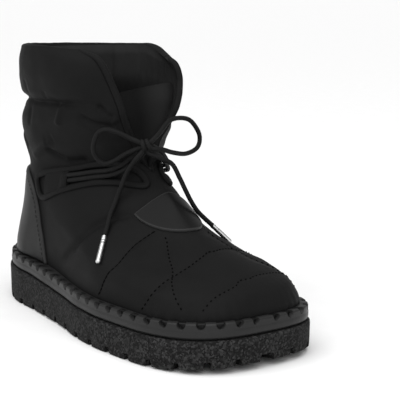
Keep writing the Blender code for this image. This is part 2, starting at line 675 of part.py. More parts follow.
def smooth_route(points, spacing, closed=False):
    """Points a set distance apart along a smooth curve through the given ones."""
    points = np.asarray(points, float)
    if closed:
        around = np.concatenate([points[-1:], points, points[:2]])
    else:
        around = np.concatenate([2 * points[:1] - points[1:2], points, 2 * points[-1:] - points[-2:-1]])
    share = np.linspace(0, 1, 24, endpoint=False)[:, None]
    runs = []
    for before, start, stop, after in zip(around, around[1:], around[2:], around[3:]):
        bend = 2 * before - 5 * start + 4 * stop - after
        twist = 3 * start - before - 3 * stop + after
        runs.append(0.5 * (2 * start + (stop - before) * share + bend * share**2 + twist * share**3))
    fine = np.concatenate(runs + [points[:1] if closed else points[-1:]])
    length = np.concatenate([[0], np.cumsum(np.linalg.norm(np.diff(fine, axis=0), axis=1))])
    count = max(4, int(round(length[-1] / spacing)))
    at = np.linspace(0, length[-1], count, endpoint=False) if closed else np.linspace(0, length[-1], count + 1)
    return np.stack([np.interp(at, length, fine[:, k]) for k in range(fine.shape[1])], axis=-1)


def swept_bar(name, centres, normals, width, thick, finish, closed):
    """A rounded flat bar along centres, lying in the surface whose normals are given."""
    along = np.roll(centres, -1, axis=0) - np.roll(centres, 1, axis=0)
    if not closed:
        along[0], along[-1] = centres[1] - centres[0], centres[-1] - centres[-2]
    across = np.cross(normals, along)
    across = across / np.linalg.norm(across, axis=1, keepdims=True)
    rows = []
    for side, level in BAR_SECTION:
        rows.append(centres + across * side * width + normals * level * thick)
    points = np.stack(rows, axis=1)
    count, sides = points.shape[:2]
    numbers = np.arange(count * sides).reshape(count, sides)
    pairs = zip(numbers, np.roll(numbers, -1, axis=0)) if closed else zip(numbers, numbers[1:])
    faces = [face for a, b in pairs for face in ring_faces(list(a), list(b))]
    if not closed:
        faces += [tuple(numbers[0]), tuple(numbers[-1])]
    return mesh_object(name, points.reshape(-1, 3), faces, finish)


def make_band(side, finish):
    """One side's ankle band: a closed loop of piping laid on the boot."""
    route = smooth_route(np.array(BAND_ROUTE) * (1000.0, 1.0), 16.0, closed=True) / (1000.0, 1.0)
    turns = route[:, 0] if side == "lateral" else 1 - route[:, 0]
    lift = BAND_LIFT + BAND_THICK / 2
    centres = upper_outside(turns, route[:, 1], lift)
    return swept_bar("ankle_band_" + side, centres, upper_normal(turns, route[:, 1]), BAND_WIDTH, BAND_THICK,
                     finish, closed=True)


def rail_height(x, upper_rail):
    """The height of one rail of the ankle band at a place along the foot."""
    route = np.array(BAND_ROUTE[:5] if upper_rail else BAND_ROUTE[11:17])
    at = upper_base(route[:, 0], route[:, 1])[:, 0]
    order = np.argsort(at)
    return np.interp(x, at[order], route[order, 1])


def make_tab(side, finish):
    """The fabric tab between the two rails, which the lace comes out of."""
    x = np.linspace(TAB_BACK, TAB_FRONT, 7)[None, :]
    low, high = rail_height(x, False) + TAB_MARGIN, rail_height(x, True) - TAB_MARGIN
    heights = low + (high - low) * np.linspace(0, 1, 5)[:, None]
    turns = turn_at(x * np.ones_like(heights), heights, medial=side == "medial")
    return shell_on_upper("lace_tab_" + side, turns, heights, SEAT_GAP + SNUG, TAB_THICK, finish)


def make_binding(side, finish):
    """The bound edge of one flap, from the throat up to the collar."""
    heights = upper_heights()
    heights = heights[heights >= BINDING_FOOT]
    turns = throat_turn(heights) if side == "lateral" else 1 - throat_turn(heights)
    normal = upper_normal(turns, heights)
    edge = upper_base(turns, heights) - normal * (WALL - BINDING_PROUD) / 2
    forward = np.cross(np.gradient(edge, axis=0), normal) * (1 if side == "lateral" else -1)
    forward = forward / np.linalg.norm(forward, axis=1, keepdims=True)
    centres = edge + forward * (SEAT_GAP + BINDING_WIDTH / 2)
    return swept_bar("flap_binding_" + side, centres, normal, BINDING_WIDTH, BINDING_THICK, finish, closed=False)


def make_lace(name, route, diameter, finish):
    """A round cord along a smooth route."""
    curve = bpy.data.curves.new(name, "CURVE")
    curve.dimensions = "3D"
    curve.bevel_depth = diameter / 2 * MM
    curve.bevel_resolution = 2
    curve.use_fill_caps = True
    points = smooth_route(route, 2.3 * diameter) * MM
    spline = curve.splines.new("POLY")
    spline.points.add(len(points) - 1)
    for place, point in zip(spline.points, points):
        place.co = (*point, 1.0)
    curve.materials.append(finish)
    made = bpy.data.objects.new(name, curve)
    bpy.context.collection.objects.link(made)
    return made


def make_knot(finish):
    """The knot of the bow, a small rounded lump."""
    form = bmesh.new()
    bmesh.ops.create_icosphere(form, subdivisions=2, radius=KNOT_RADIUS * MM)
    bmesh.ops.translate(form, verts=form.verts, vec=[value * MM for value in KNOT])
    mesh = bpy.data.meshes.new("lace_knot")
    form.to_mesh(mesh)
    form.free()
    mesh.shade_smooth()
    mesh.materials.append(finish)
    made = bpy.data.objects.new("lace_knot", mesh)
    bpy.context.collection.objects.link(made)
    return made


def clear_scene():
    for thing in list(bpy.data.objects):
        bpy.data.objects.remove(thing, do_unlink=True)


def main():
    clear_scene()
    nylon = material("padded_nylon", 0.018, 0.5)
    leather = material("smooth_leather", 0.045, 0.4)
    rubber = material("crumb_rubber", 0.032, 0.85)
    moulded = material("moulded_welt", 0.045, 0.45)
    felt = material("foot_bed", 0.05, 0.95)
    webbing = material("webbing", 0.02, 0.7)
    cord = material("lace_cord", 0.03, 0.7)
    metal = material("aglet_metal", 0.6, 0.3, 1.0)
    make_outsole(rubber)
    make_welt(moulded)
    make_insole(felt)
    make_upper(nylon)
    make_tongue(nylon)
    make_counter(leather)
    make_back_strip(webbing)
    make_patch(leather)
    for side in ("lateral", "medial"):
        make_band(side, nylon)
        make_tab(side, webbing)
        make_binding(side, webbing)
    for name, route in LACE_ROUTES.items():
        make_lace(name, route, LACE_DIAMETER, cord)
    for name, route in AGLETS.items():
        make_lace(name, route, AGLET_DIAMETER, metal)
    make_knot(cord)


main()
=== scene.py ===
"""Winter ankle boot for the right foot: a padded nylon upper on a lugged crumb-rubber sole.

The frame is in metres, +Z up, the toe along +X and the outer (lateral) side along -Y. Sizes here are in
millimetres and are scaled once, where a mesh is made. Every piece is laid on the last's own form functions,
so that fabric, leather, welt and sole keep one shape.
"""

import logging
import math
from dataclasses import dataclass, field
from enum import Enum
from typing import Callable, Sequence

import bmesh
import bpy
import numpy as np
from mathutils import Matrix, Vector


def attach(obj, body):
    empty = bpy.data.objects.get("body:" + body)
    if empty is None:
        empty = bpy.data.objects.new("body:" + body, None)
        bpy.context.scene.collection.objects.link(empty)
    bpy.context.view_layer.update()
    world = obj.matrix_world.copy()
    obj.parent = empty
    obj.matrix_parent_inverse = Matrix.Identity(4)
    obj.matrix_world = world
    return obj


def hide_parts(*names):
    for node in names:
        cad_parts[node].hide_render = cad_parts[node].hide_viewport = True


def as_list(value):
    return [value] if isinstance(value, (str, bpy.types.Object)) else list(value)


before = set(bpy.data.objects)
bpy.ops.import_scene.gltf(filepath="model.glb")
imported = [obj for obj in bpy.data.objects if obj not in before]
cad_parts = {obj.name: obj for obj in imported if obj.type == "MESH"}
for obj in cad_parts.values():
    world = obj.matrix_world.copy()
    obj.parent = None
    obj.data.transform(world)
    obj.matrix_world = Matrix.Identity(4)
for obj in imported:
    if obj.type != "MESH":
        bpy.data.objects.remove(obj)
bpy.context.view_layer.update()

MM = 0.001
TINY = 1e-9
SPAN_STEPS = 24
BATCH = 8192
HALVINGS = 40
GIRTH = 620.0
LOG = logging.getLogger("boot")
Array = np.ndarray
Form = bmesh.types.BMesh
Object = bpy.types.Object
Material = bpy.types.Material
Tree = bpy.types.NodeTree
Node = bpy.types.Node
Socket = bpy.types.NodeSocket


class Side(Enum):
    """The two sides of the boot."""

    LATERAL = "lateral"
    MEDIAL = "medial"

    def turn(self, turn: Array) -> Array:
        """Bring a lateral turn to this side."""
        return turn if self is Side.LATERAL else 1 - turn


def from_front(turn: Array) -> Array:
    """How far round from the front a turn lies, on either side."""
    return np.minimum(turn, 1 - turn)


# Curves and noise.
def smoothstep(value: Array) -> Array:
    """Ease from 0 to 1."""
    value = np.clip(value, 0.0, 1.0)
    return value * value * (3 - 2 * value)


def bell(distance: Array, width: float) -> Array:
    """A soft bump, 1 at no distance and fading over width."""
    return np.exp(-(distance / width) ** 2)


def unit(vectors: Array) -> Array:
    """Scale vectors to a length of 1."""
    return vectors / np.maximum(np.linalg.norm(vectors, axis=-1, keepdims=True), TINY)


@dataclass(frozen=True)
class Ramp:
    """An eased rise from 0 at start to 1 over reach; a negative reach rises towards lower values."""

    start: float
    reach: float

    def at(self, value: Array) -> Array:
        """Read the ramp."""
        return smoothstep((value - self.start) / self.reach)


class Table:
    """Smooth curves through the rows of a table, without overshoot."""

    def __init__(self, columns: str, rows: Sequence[Sequence[float]]) -> None:
        """Args: columns: names, the key's first. rows: one row for each key."""
        values = np.array(rows, float)
        self.keys = values[:, 0]
        self.columns = {name: values[:, k] for k, name in enumerate(columns.split())}

    def read(self, column: str, at: Array) -> Array:
        """Read a column.

        Args:
            column: its name.
            at: the keys to read it at.
        Returns:
            The values, of the keys' shape.
        """
        keys, values = self.keys, self.columns[column]
        step = np.diff(keys)
        slope = np.diff(values) / step
        tangent = np.zeros(len(keys))
        product = slope[:-1] * slope[1:]
        total = np.where(product > 0, slope[:-1] + slope[1:], 1.0)
        tangent[1:-1] = np.where(product > 0, 2 * product / total, 0.0)
        tangent[0], tangent[-1] = slope[0], slope[-1]
        at = np.clip(np.asarray(at, float), keys[0], keys[-1])
        row = np.clip(np.searchsorted(keys, at) - 1, 0, len(step) - 1)
        share = (at - keys[row]) / step[row]
        back = 1 - share
        ends = values[row] * (1 + 2 * share) * back ** 2 + values[row + 1] * (3 - 2 * share) * share ** 2
        return ends + step[row] * share * back * (tangent[row] * back - tangent[row + 1] * share)


class Noise:
    """Seeded smooth noise over points, from -1 to 1."""

    CELLS: int = 32

    def __init__(self, seed: int) -> None:
        """Args: seed: the same seed gives the same noise."""
        self.lattice = np.random.default_rng(seed).uniform(-1, 1, (self.CELLS,) * 3)

    def at(self, points: Array, size: Sequence[float] | float) -> Array:
        """Read the noise.

        Args:
            points: (..., 3) in mm.
            size: the length of one cell, or one for each axis.
        Returns:
            A value for each point.
        """
        cell = points / np.asarray(size, float)
        low = np.floor(cell).astype(int)
        share = smoothstep(cell - low)
        total = np.zeros(points.shape[:-1])
        for corner in np.ndindex(2, 2, 2):
            weight = np.prod(np.where(np.array(corner) == 1, share, 1 - share), axis=-1)
            where = (low + np.array(corner)) % self.CELLS
            total = total + weight * self.lattice[where[..., 0], where[..., 1], where[..., 2]]
        return total


def run_along(route: Array) -> Array:
    """The length run along a route at each of its points."""
    return np.concatenate([[0], np.cumsum(np.linalg.norm(np.diff(route, axis=0), axis=1))])


def places_at(at: Array | float, run: Array, route: Array) -> Array:
    """What lies some lengths along a route, from its points and the lengths run at them."""
    return np.stack([np.interp(at, run, route[:, k]) for k in range(route.shape[1])], axis=-1)


def smooth_route(points: Sequence[Sequence[float]], spacing: float, closed: bool = False) -> Array:
    """Lay points a set distance apart along a smooth curve.

    Args:
        points: what the curve passes through.
        spacing: the distance between the points made.
        closed: whether the curve comes back to its start.
    Returns:
        The points, one to a row.
    """
    points = np.asarray(points, float)
    if closed:
        around = np.concatenate([points[-1:], points, points[:2]])
    else:
        around = np.concatenate([2 * points[:1] - points[1:2], points, 2 * points[-1:] - points[-2:-1]])
    share = np.linspace(0, 1, SPAN_STEPS, endpoint=False)[:, None]
    runs = []
    for before, start, stop, after in zip(around, around[1:], around[2:], around[3:]):
        bend = 2 * before - 5 * start + 4 * stop - after
        twist = 3 * start - before - 3 * stop + after
        runs.append(0.5 * (2 * start + (stop - before) * share + bend * share ** 2 + twist * share ** 3))
    fine = np.concatenate(runs + [points[:1] if closed else points[-1:]])
    length = run_along(fine)
    count = max(4, int(round(length[-1] / spacing)))
    at = np.linspace(0, length[-1], count if closed else count + 1, endpoint=not closed)
    return places_at(at, length, fine)


def nearest(points: Array, route: Array) -> tuple[Array, Array]:
    """Find how far points lie from a route.

    Args:
        points: (..., 3) in mm.
        route: the route's points.
    Returns:
        Each point's distance, and its place along the route in mm.
    """
    flat = points.reshape(-1, 3)
    run = run_along(route)
    distance, place = np.full(len(flat), np.inf), np.zeros(len(flat))
    for start in range(0, len(flat), BATCH):
        batch = slice(start, start + BATCH)
        part = flat[batch]
        apart = np.sum(part ** 2, axis=1)[:, None] - 2 * part @ route.T + np.sum(route ** 2, axis=1)[None]
        close = apart.argmin(axis=1)
        for first in (np.maximum(close - 1, 0), np.minimum(close, len(route) - 2)):
            begin, step = route[first], route[first + 1] - route[first]
            square = np.maximum(np.sum(step ** 2, axis=1), TINY)
            share = np.clip(np.sum((part - begin) * step, axis=1) / square, 0, 1)
            gap = np.linalg.norm(part - begin - step * share[:, None], axis=1)
            better = gap < distance[batch]
            along = run[first] + (run[first + 1] - run[first]) * share
            distance[batch] = np.where(better, gap, distance[batch])
            place[batch] = np.where(better, along, place[batch])
    shape = points.shape[:-1]
    return distance.reshape(shape), place.reshape(shape)


def bisected(low: Array, high: Array, holds: Callable[[Array], Array]) -> tuple[Array, Array]:
    """Close in on where a test stops holding.

    Args:
        low: values at which it holds.
        high: values at which it doesn't.
        holds: the test.
    Returns:
        The highest values found at which it holds, and the lowest at which it doesn't.
    """
    for _ in range(HALVINGS):
        middle = 0.5 * (low + high)
        below = holds(middle)
        low, high = np.where(below, middle, low), np.where(below, high, middle)
    return low, high


# The last.
@dataclass(frozen=True)
class Last:
    """The boot's form: the sole's outline and the upper's surface, as functions of turn and height.

    A turn goes round the boot from 0 at the toe by the lateral side to 0.5 at the heel and back.
    """

    length: float = 268.0
    heel_end: tuple[float, float] = (0.23, 2.0)
    toe_end: tuple[float, float] = (0.25, 3.0)
    toe_swing: float = 7.2
    swing_ramp: Ramp = Ramp(-0.2, 0.7)
    ball_ramp: Ramp = Ramp(-64.0, 109.0)
    wall: float = 3.0
    gap: float = 0.3
    foot: float = 19.0
    sole_follow: float = 43.0
    throat_foot: float = 100.0
    throat_limit: float = 0.3
    rim: float = 180.0
    rim_tilt: float = 4.6
    corner_drop: float = 7.5
    lateral_corner: float = 0.3
    corner_ramp: Ramp = Ramp(-44.0, 40.0)
    flap_fade: float = 0.07
    strip_press: float = 0.35
    strip_ramp: Ramp = Ramp(0.43, 0.07)
    outline_points: int = 721
    fine_points: int = 2001
    settling_steps: int = 12
    outline_step: float = 1e-4
    turn_step: float = 1e-3
    height_step: float = 0.2
    sole: Table = field(default_factory=lambda: Table("station lateral medial ground top", [
        (0.00, 42.4, 42.4, 1.6, 24.0),
        (0.07, 42.4, 42.4, 0.0, 24.0),
        (0.22, 42.4, 42.4, 0.0, 23.2),
        (0.36, 45.6, 43.4, 0.7, 21.4),
        (0.46, 49.4, 47.6, 0.7, 20.0),
        (0.58, 56.0, 52.6, 0.0, 19.0),
        (0.68, 58.4, 55.2, 0.0, 18.6),
        (0.80, 57.6, 55.4, 0.2, 18.6),
        (0.90, 55.8, 54.8, 1.6, 19.0),
        (1.00, 54.2, 54.2, 4.4, 20.2),
    ]))
    upper: Table = field(default_factory=lambda: Table(
        "height back front heel ball back_cap front_cap front_power puff", [
            (19.0, -122.0, 125.5, 33.6, 49.6, 40.0, 68.0, 2.90, 0.0),
            (30.0, -122.8, 126.6, 34.0, 51.0, 40.0, 68.0, 2.80, 0.0),
            (38.0, -121.8, 124.2, 34.2, 51.0, 40.0, 70.0, 2.50, 0.0),
            (46.0, -119.2, 115.5, 34.4, 49.8, 40.0, 78.0, 2.15, 0.0),
            (54.0, -116.0, 95.0, 34.6, 47.0, 40.0, 92.0, 1.90, 0.0),
            (61.0, -113.0, 77.0, 34.7, 45.0, 40.0, 100.0, 1.80, 0.0),
            (68.0, -110.0, 63.0, 34.8, 43.0, 40.0, 104.0, 1.75, 0.0),
            (76.0, -107.2, 52.0, 35.0, 41.5, 40.0, 104.0, 1.70, 0.0),
            (84.0, -105.2, 42.5, 35.2, 40.0, 40.0, 102.0, 1.65, 0.0),
            (91.0, -103.8, 34.0, 35.2, 38.5, 41.0, 98.0, 1.60, 0.0),
            (98.0, -102.8, 26.0, 35.4, 37.6, 43.0, 92.0, 1.55, 0.0),
            (106.0, -102.4, 19.8, 36.0, 37.0, 46.0, 88.0, 1.50, 1.6),
            (118.0, -102.8, 22.0, 37.4, 37.4, 50.0, 82.0, 1.55, 4.2),
            (130.0, -103.8, 27.2, 39.0, 39.0, 51.0, 80.0, 1.80, 3.4),
            (142.0, -104.4, 31.2, 40.4, 40.4, 54.0, 76.0, 2.00, 0.0),
            (150.0, -104.4, 32.2, 41.0, 41.0, 58.0, 72.0, 2.00, 3.2),
            (160.0, -104.4, 31.6, 41.6, 41.6, 62.0, 69.0, 2.00, 4.6),
            (166.0, -104.6, 29.8, 41.8, 41.8, 61.0, 67.0, 2.00, 4.2),
            (172.0, -104.8, 25.6, 42.0, 42.0, 60.0, 64.0, 2.00, 3.4),
            (180.0, -105.4, 13.5, 41.6, 41.6, 58.0, 60.0, 2.00, 0.8),
        ]))
    throat: Table = field(default_factory=lambda: Table("height lateral medial", [
        (100.0, 0.0, 0.0),
        (106.0, 4.6, 3.6),
        (118.0, 10.2, 8.4),
        (128.0, 16.2, 14.2),
        (136.0, 20.3, 18.9),
        (149.0, 24.9, 24.7),
        (160.0, 27.9, 27.8),
        (172.0, 30.6, 28.6),
        (180.0, 34.0, 34.0),
    ]))

    @staticmethod
    def end_cap(share: Array, power: Array | float) -> Array:
        """A superellipse end: 0 at the tip, 1 where the end is over."""
        share = np.clip(share, 0.0, 1.0)
        return (1 - (1 - share) ** power) ** (1 / power)

    def swing(self, x: Array) -> Array:
        """How far the centre line swings to the inner side at x."""
        return self.toe_swing * self.swing_ramp.at(x / self.length)

    def plan(self, turn: Array) -> Array:
        """The sole's outline in plan, before the boot is centred."""
        turn = np.mod(turn, 1.0)
        station = 0.5 + 0.5 * np.cos(2 * math.pi * turn)
        x = (station - 0.5) * self.length
        half = np.where(turn < 0.5, -self.sole.read("lateral", station), self.sole.read("medial", station))
        (heel, heel_power), (toe, toe_power) = self.heel_end, self.toe_end
        ends = self.end_cap(station / heel, heel_power) * self.end_cap((1 - station) / toe, toe_power)
        return np.stack([x, self.swing(x) + half * ends], axis=-1)

    def side_shift(self) -> float:
        """What centres the sole's box across."""
        across = self.plan(np.linspace(0, 1, self.outline_points))[:, 1]
        return float(-0.5 * (across.min() + across.max()))

    def centre(self, x: Array) -> Array:
        """The Y of the centre line at x."""
        return self.swing(np.asarray(x, float)) + self.side_shift()

    def ground(self, x: Array) -> Array:
        """The tread's height off the floor at x."""
        return self.sole.read("ground", np.asarray(x, float) / self.length + 0.5)

    def sole_top(self, x: Array) -> Array:
        """The height of the sole's top at x."""
        return self.sole.read("top", np.asarray(x, float) / self.length + 0.5)

    def sole_edge(self, turn: Array, inset: Array | float = 0.0) -> Array:
        """Points of the sole's outline, moved in by inset."""
        here = self.plan(turn)
        along = unit(self.plan(turn + self.outline_step) - self.plan(turn - self.outline_step))
        outward = np.stack([-along[..., 1], along[..., 0]], axis=-1)
        outward = outward * np.sign(np.sum(outward * here, axis=-1, keepdims=True))
        here = here - outward * np.broadcast_to(np.asarray(inset, float), here.shape[:-1])[..., None]
        here[..., 1] += self.side_shift()
        return here

    def even_turns(self, count: int) -> Array:
        """Turns spaced evenly along the sole's edge, starting at the toe, with the last at 1."""
        fine = np.linspace(0, 1, self.fine_points)
        run = run_along(self.plan(fine))
        return np.interp(np.linspace(0, run[-1], count + 1), run, fine)

    def half_width(self, x: Array, height: Array) -> Array:
        """Half the upper's width at x and a height."""
        read = self.upper.read
        back, front = read("back", height), read("front", height)
        spread = self.ball_ramp.at(x)
        width = read("heel", height) + (read("ball", height) - read("heel", height)) * spread
        return (width * self.end_cap((x - back) / read("back_cap", height), 2.0)
                * self.end_cap((front - x) / read("front_cap", height), read("front_power", height)))

    def sole_rise(self, x: Array, height: Array) -> Array:
        """How far the upper is lifted low down, where it follows the sole's top."""
        low = 1 - smoothstep((height - self.foot) / self.sole_follow)
        return (self.sole_top(x) + self.gap - self.foot) * low

    def base(self, turn: Array, height: Array) -> Array:
        """The upper's surface before its padding swells; low down it follows the sole's top."""
        turn, height = np.broadcast_arrays(np.mod(turn, 1.0), np.asarray(height, float))
        back, front = self.upper.read("back", height), self.upper.read("front", height)
        x = back + (front - back) * (0.5 + 0.5 * np.cos(2 * math.pi * turn))
        side = np.where(turn < 0.5, -1.0, 1.0)
        y = self.centre(x) + side * self.half_width(x, height)
        high = smoothstep((height - self.throat_foot) / (self.rim - self.throat_foot))
        rise = self.sole_rise(x, height)
        tilt = self.rim_tilt * high * (x - 0.5 * (back + front)) / (front - back)
        corner = np.where(side < 0, self.lateral_corner, 1.0) * self.corner_drop
        corner = corner * self.corner_ramp.at(x) * high ** 3
        return np.stack([x, y, height + rise + tilt - corner], axis=-1)

    def normal(self, turn: Array, height: Array) -> Array:
        """The upper's outward normal."""
        height = np.asarray(height, float)
        along = self.base(turn + self.turn_step, height) - self.base(turn - self.turn_step, height)
        upward = (self.base(turn, np.minimum(height + self.height_step, self.rim))
                  - self.base(turn, np.maximum(height - self.height_step, self.foot)))
        return unit(np.cross(upward, along))

    def throat_turn(self, height: Array, side: Side) -> Array:
        """How far round from the front one flap ends at a height."""
        height = np.asarray(height, float)
        gap = self.throat.read(side.value, height)

        def in_throat(turn: Array) -> Array:
            """Whether a turn lies within the throat."""
            place = self.base(turn, height)
            return np.abs(place[..., 1] - self.centre(place[..., 0])) < gap

        edge = bisected(np.zeros_like(gap), np.full_like(gap, self.throat_limit), in_throat)[1]
        return np.where(height <= self.throat_foot, 0.0, edge)

    def flap_edge(self, turn: Array, height: Array) -> Array:
        """How far round from the front the flap ends on whichever side a turn is."""
        height = np.broadcast_to(height, np.broadcast_shapes(np.shape(turn), np.shape(height)))
        lateral, medial = (self.throat_turn(height, side) for side in Side)
        return np.where(np.mod(turn, 1.0) < 0.5, lateral, medial)

    def swell(self, turn: Array, height: Array) -> Array:
        """The padding's swell, which dies away at the flaps' edges and under the back strip."""
        turn = np.mod(turn, 1.0)
        flap = smoothstep((from_front(turn) - self.flap_edge(turn, height)) / self.flap_fade)
        strip = 1 - self.strip_press * self.strip_ramp.at(from_front(turn))
        return self.upper.read("puff", height) * flap * strip

    def outside(self, turn: Array, height: Array, lift: Array | float = 0.0) -> Array:
        """The upper's outer face, or a surface that lies lift above it."""
        turn, height = np.broadcast_arrays(np.asarray(turn, float), np.asarray(height, float))
        reach = self.swell(turn, height) + lift
        return self.base(turn, height) + self.normal(turn, height) * reach[..., None]

    def turn_at(self, x: Array, height: Array) -> Array:
        """The lateral turn of the point at x and a height."""
        back, front = self.upper.read("back", height), self.upper.read("front", height)
        return np.arccos(np.clip(2 * (x - back) / (front - back) - 1, -1, 1)) / (2 * math.pi)

    def height_of(self, x: Array, z: Array) -> Array:
        """The table height of a point low on the upper that lies at z."""
        height = np.asarray(z, float)
        for _ in range(self.settling_steps):
            height = z - self.sole_rise(x, height)
        return np.maximum(height, self.foot)

    def crown_height(self, x: Array, y: Array) -> Array:
        """The table height at which the vamp lies over a point of the plan."""
        def covered(height: Array) -> Array:
            """Whether the upper is still wide enough there at a height."""
            return self.half_width(x, height) > np.abs(y - self.centre(x))

        return bisected(np.full_like(x, self.foot), np.full_like(x, self.throat_foot), covered)[0]

    def mirrored(self, route: Array) -> Array:
        """A route on the other side of the centre line."""
        twin = route.copy()
        twin[:, 1] = 2 * self.centre(route[:, 0]) - route[:, 1]
        return twin


# Meshes.
@dataclass
class Grid:
    """A sheet of points in rows and columns, with its UV in mm and named marks on its points."""

    points: Array
    uv: Array | None = None
    wrap: bool = False
    marks: dict[str, Array] = field(default_factory=dict)

    def mesh_object(self, name: str, finish: Material, cap: bool = False) -> Object:
        """Model the sheet from a grid, closing it round where it wraps.

        Args:
            name: the piece's name.
            finish: its material.
            cap: whether the open ends of a wrapped sheet are filled.
        Returns:
            The object, in metres, at the origin.
        """
        rows, columns = self.points.shape[:2]
        shown = columns + 1 if self.wrap else columns
        form = bmesh.new()
        bmesh.ops.create_grid(form, x_segments=shown - 1, y_segments=rows - 1, size=0.5)
        places = np.array([vert.co for vert in form.verts])
        column = np.rint((places[:, 0] + 0.5) * (shown - 1)).astype(int)
        row = np.rint((places[:, 1] + 0.5) * (rows - 1)).astype(int)
        spots = self.points[row, column % columns] * MM
        layers = {mark: form.verts.layers.float.new(mark) for mark in self.marks}
        for number, vert in enumerate(form.verts):
            vert.co = spots[number]
            for mark, layer in layers.items():
                vert[layer] = self.marks[mark][row[number], column[number] % columns]
        if self.uv is not None:
            self._lay_uv(form, row, column)
        bmesh.ops.reverse_faces(form, faces=form.faces)
        if self.wrap:
            bmesh.ops.remove_doubles(form, verts=form.verts, dist=1e-8)
        if cap:
            edges = [edge for edge in form.edges if edge.is_boundary]
            bmesh.ops.holes_fill(form, edges=edges, sides=0)
        if self.wrap and cap:
            bmesh.ops.recalc_face_normals(form, faces=form.faces)
        return finished(form, name, finish)

    def _lay_uv(self, form: Form, row: Array, column: Array) -> None:
        """Give each corner of each face its UV, in mm.

        Args:
            form: the sheet's form.
            row, column: where in the sheet each of its points stands.
        """
        layer = form.loops.layers.uv.new("UVMap")
        step = self.uv[:, -1:] - self.uv[:, -2:-1]
        spread = np.concatenate([self.uv, self.uv[:, -1:] + step], axis=1) if self.wrap else self.uv
        for face in form.faces:
            for loop in face.loops:
                number = loop.vert.index
                loop[layer].uv = spread[row[number], column[number]]


def finished(form: Form, name: str, finish: Material, sharp: float = 40.0) -> Object:
    """Turn a form into a smooth-shaded object.

    Args:
        form: what is made a mesh, and is then freed.
        name: the piece's name.
        finish: its material.
        sharp: the angle in degrees past which an edge stays sharp.
    Returns:
        The object.
    """
    mesh = bpy.data.meshes.new(name)
    form.to_mesh(mesh)
    form.free()
    mesh.shade_smooth()
    mesh.set_sharp_from_angle(angle=math.radians(sharp))
    mesh.materials.append(finish)
    made = bpy.data.objects.new(name, mesh)
    bpy.context.scene.collection.objects.link(made)
    return made


def thicken(piece: Object, thick: float) -> None:
    """Give a sheet its thickness, inwards from its face."""
    cloth = piece.modifiers.new("cloth", "SOLIDIFY")
    cloth.thickness = thick * MM
    cloth.offset = -1.0


def heading(route: Array, closed: bool) -> Array:
    """The way that a route runs at each of its points."""
    if closed:
        return np.roll(route, -1, axis=0) - np.roll(route, 1, axis=0)
    return np.gradient(route, axis=0)


def carried_frames(route: Array, closed: bool) -> tuple[Array, Array]:
    """Carry two directions square to a route along it, without twist.

    Args:
        route: its points.
        closed: whether it comes back to its start.
    Returns:
        The two directions at each point.
    """
    along = unit(heading(route, closed))
    first = np.cross(along[0], (0.3, 0.2, 0.9))
    sides = [unit(first)]
    for direction in along[1:]:
        sides.append(unit(sides[-1] - direction * np.dot(sides[-1], direction)))
    sides = np.array(sides)
    return sides, np.cross(along, sides)


def swept_grid(points: Array, around: Array, route: Array, closed: bool) -> Grid:
    """Make a grid of the rings swept along a route.

    Args:
        points: the rings, one to a row.
        around: how far round the ring each of its points lies, in mm.
        route: what they were swept along.
        closed: whether it comes back to its start.
    Returns:
        The grid, with UV in mm round and along.
    """
    uv = np.stack(np.broadcast_arrays(around[None, :], run_along(route)[:, None]), axis=-1)
    if closed:
        points = np.concatenate([points, points[:1]])
        uv = np.concatenate([uv, uv[-1:] + (uv[-1:] - uv[-2:-1])])
    return Grid(points, uv, wrap=True)


def tube_grid(route: Array, radius: Array | float, around: int, closed: bool = False) -> Grid:
    """A round cord along a route.

    Args:
        route: its middle line.
        radius: its radius, or one for each point.
        around: how many points go round it.
        closed: whether it comes back to its start.
    Returns:
        Its grid.
    """
    first, second = carried_frames(route, closed)
    radius = np.broadcast_to(np.asarray(radius, float), (len(route),))
    angle = np.linspace(0, 2 * math.pi, around, endpoint=False)
    ring = first[:, None] * np.cos(angle)[None, :, None] + second[:, None] * np.sin(angle)[None, :, None]
    points = route[:, None] + ring * radius[:, None, None]
    return swept_grid(points, angle * float(radius.mean()), route, closed)


def bar_grid(route: Array, normals: Array, width: float, thick: float, closed: bool,
             scale: Array | float = 1.0, around: int = 14, squareness: tuple = (0.7, 0.8)) -> Grid:
    """A rounded flat bar along a route on a surface.

    Args:
        route: its middle line.
        normals: the surface's normals there.
        width, thick: its size across the route and along the normals.
        closed: whether it comes back to its start.
        scale: what narrows it on its way.
        around: how many points go round it.
        squareness: the powers that square its section, across and along the normals.
    Returns:
        Its grid.
    """
    across = unit(np.cross(normals, heading(route, closed)))
    angle = np.linspace(0, 2 * math.pi, around, endpoint=False)
    side = np.sign(np.cos(angle)) * np.abs(np.cos(angle)) ** squareness[0] * width / 2
    level = np.sign(np.sin(angle)) * np.abs(np.sin(angle)) ** squareness[1] * thick / 2
    scale = np.broadcast_to(np.asarray(scale, float), (len(route),))[:, None, None]
    profile = across[:, None] * side[None, :, None] + normals[:, None] * level[None, :, None]
    girth = np.linspace(0, 2 * (width + thick), around, endpoint=False)
    return swept_grid(route[:, None] + profile * scale, girth, route, closed)


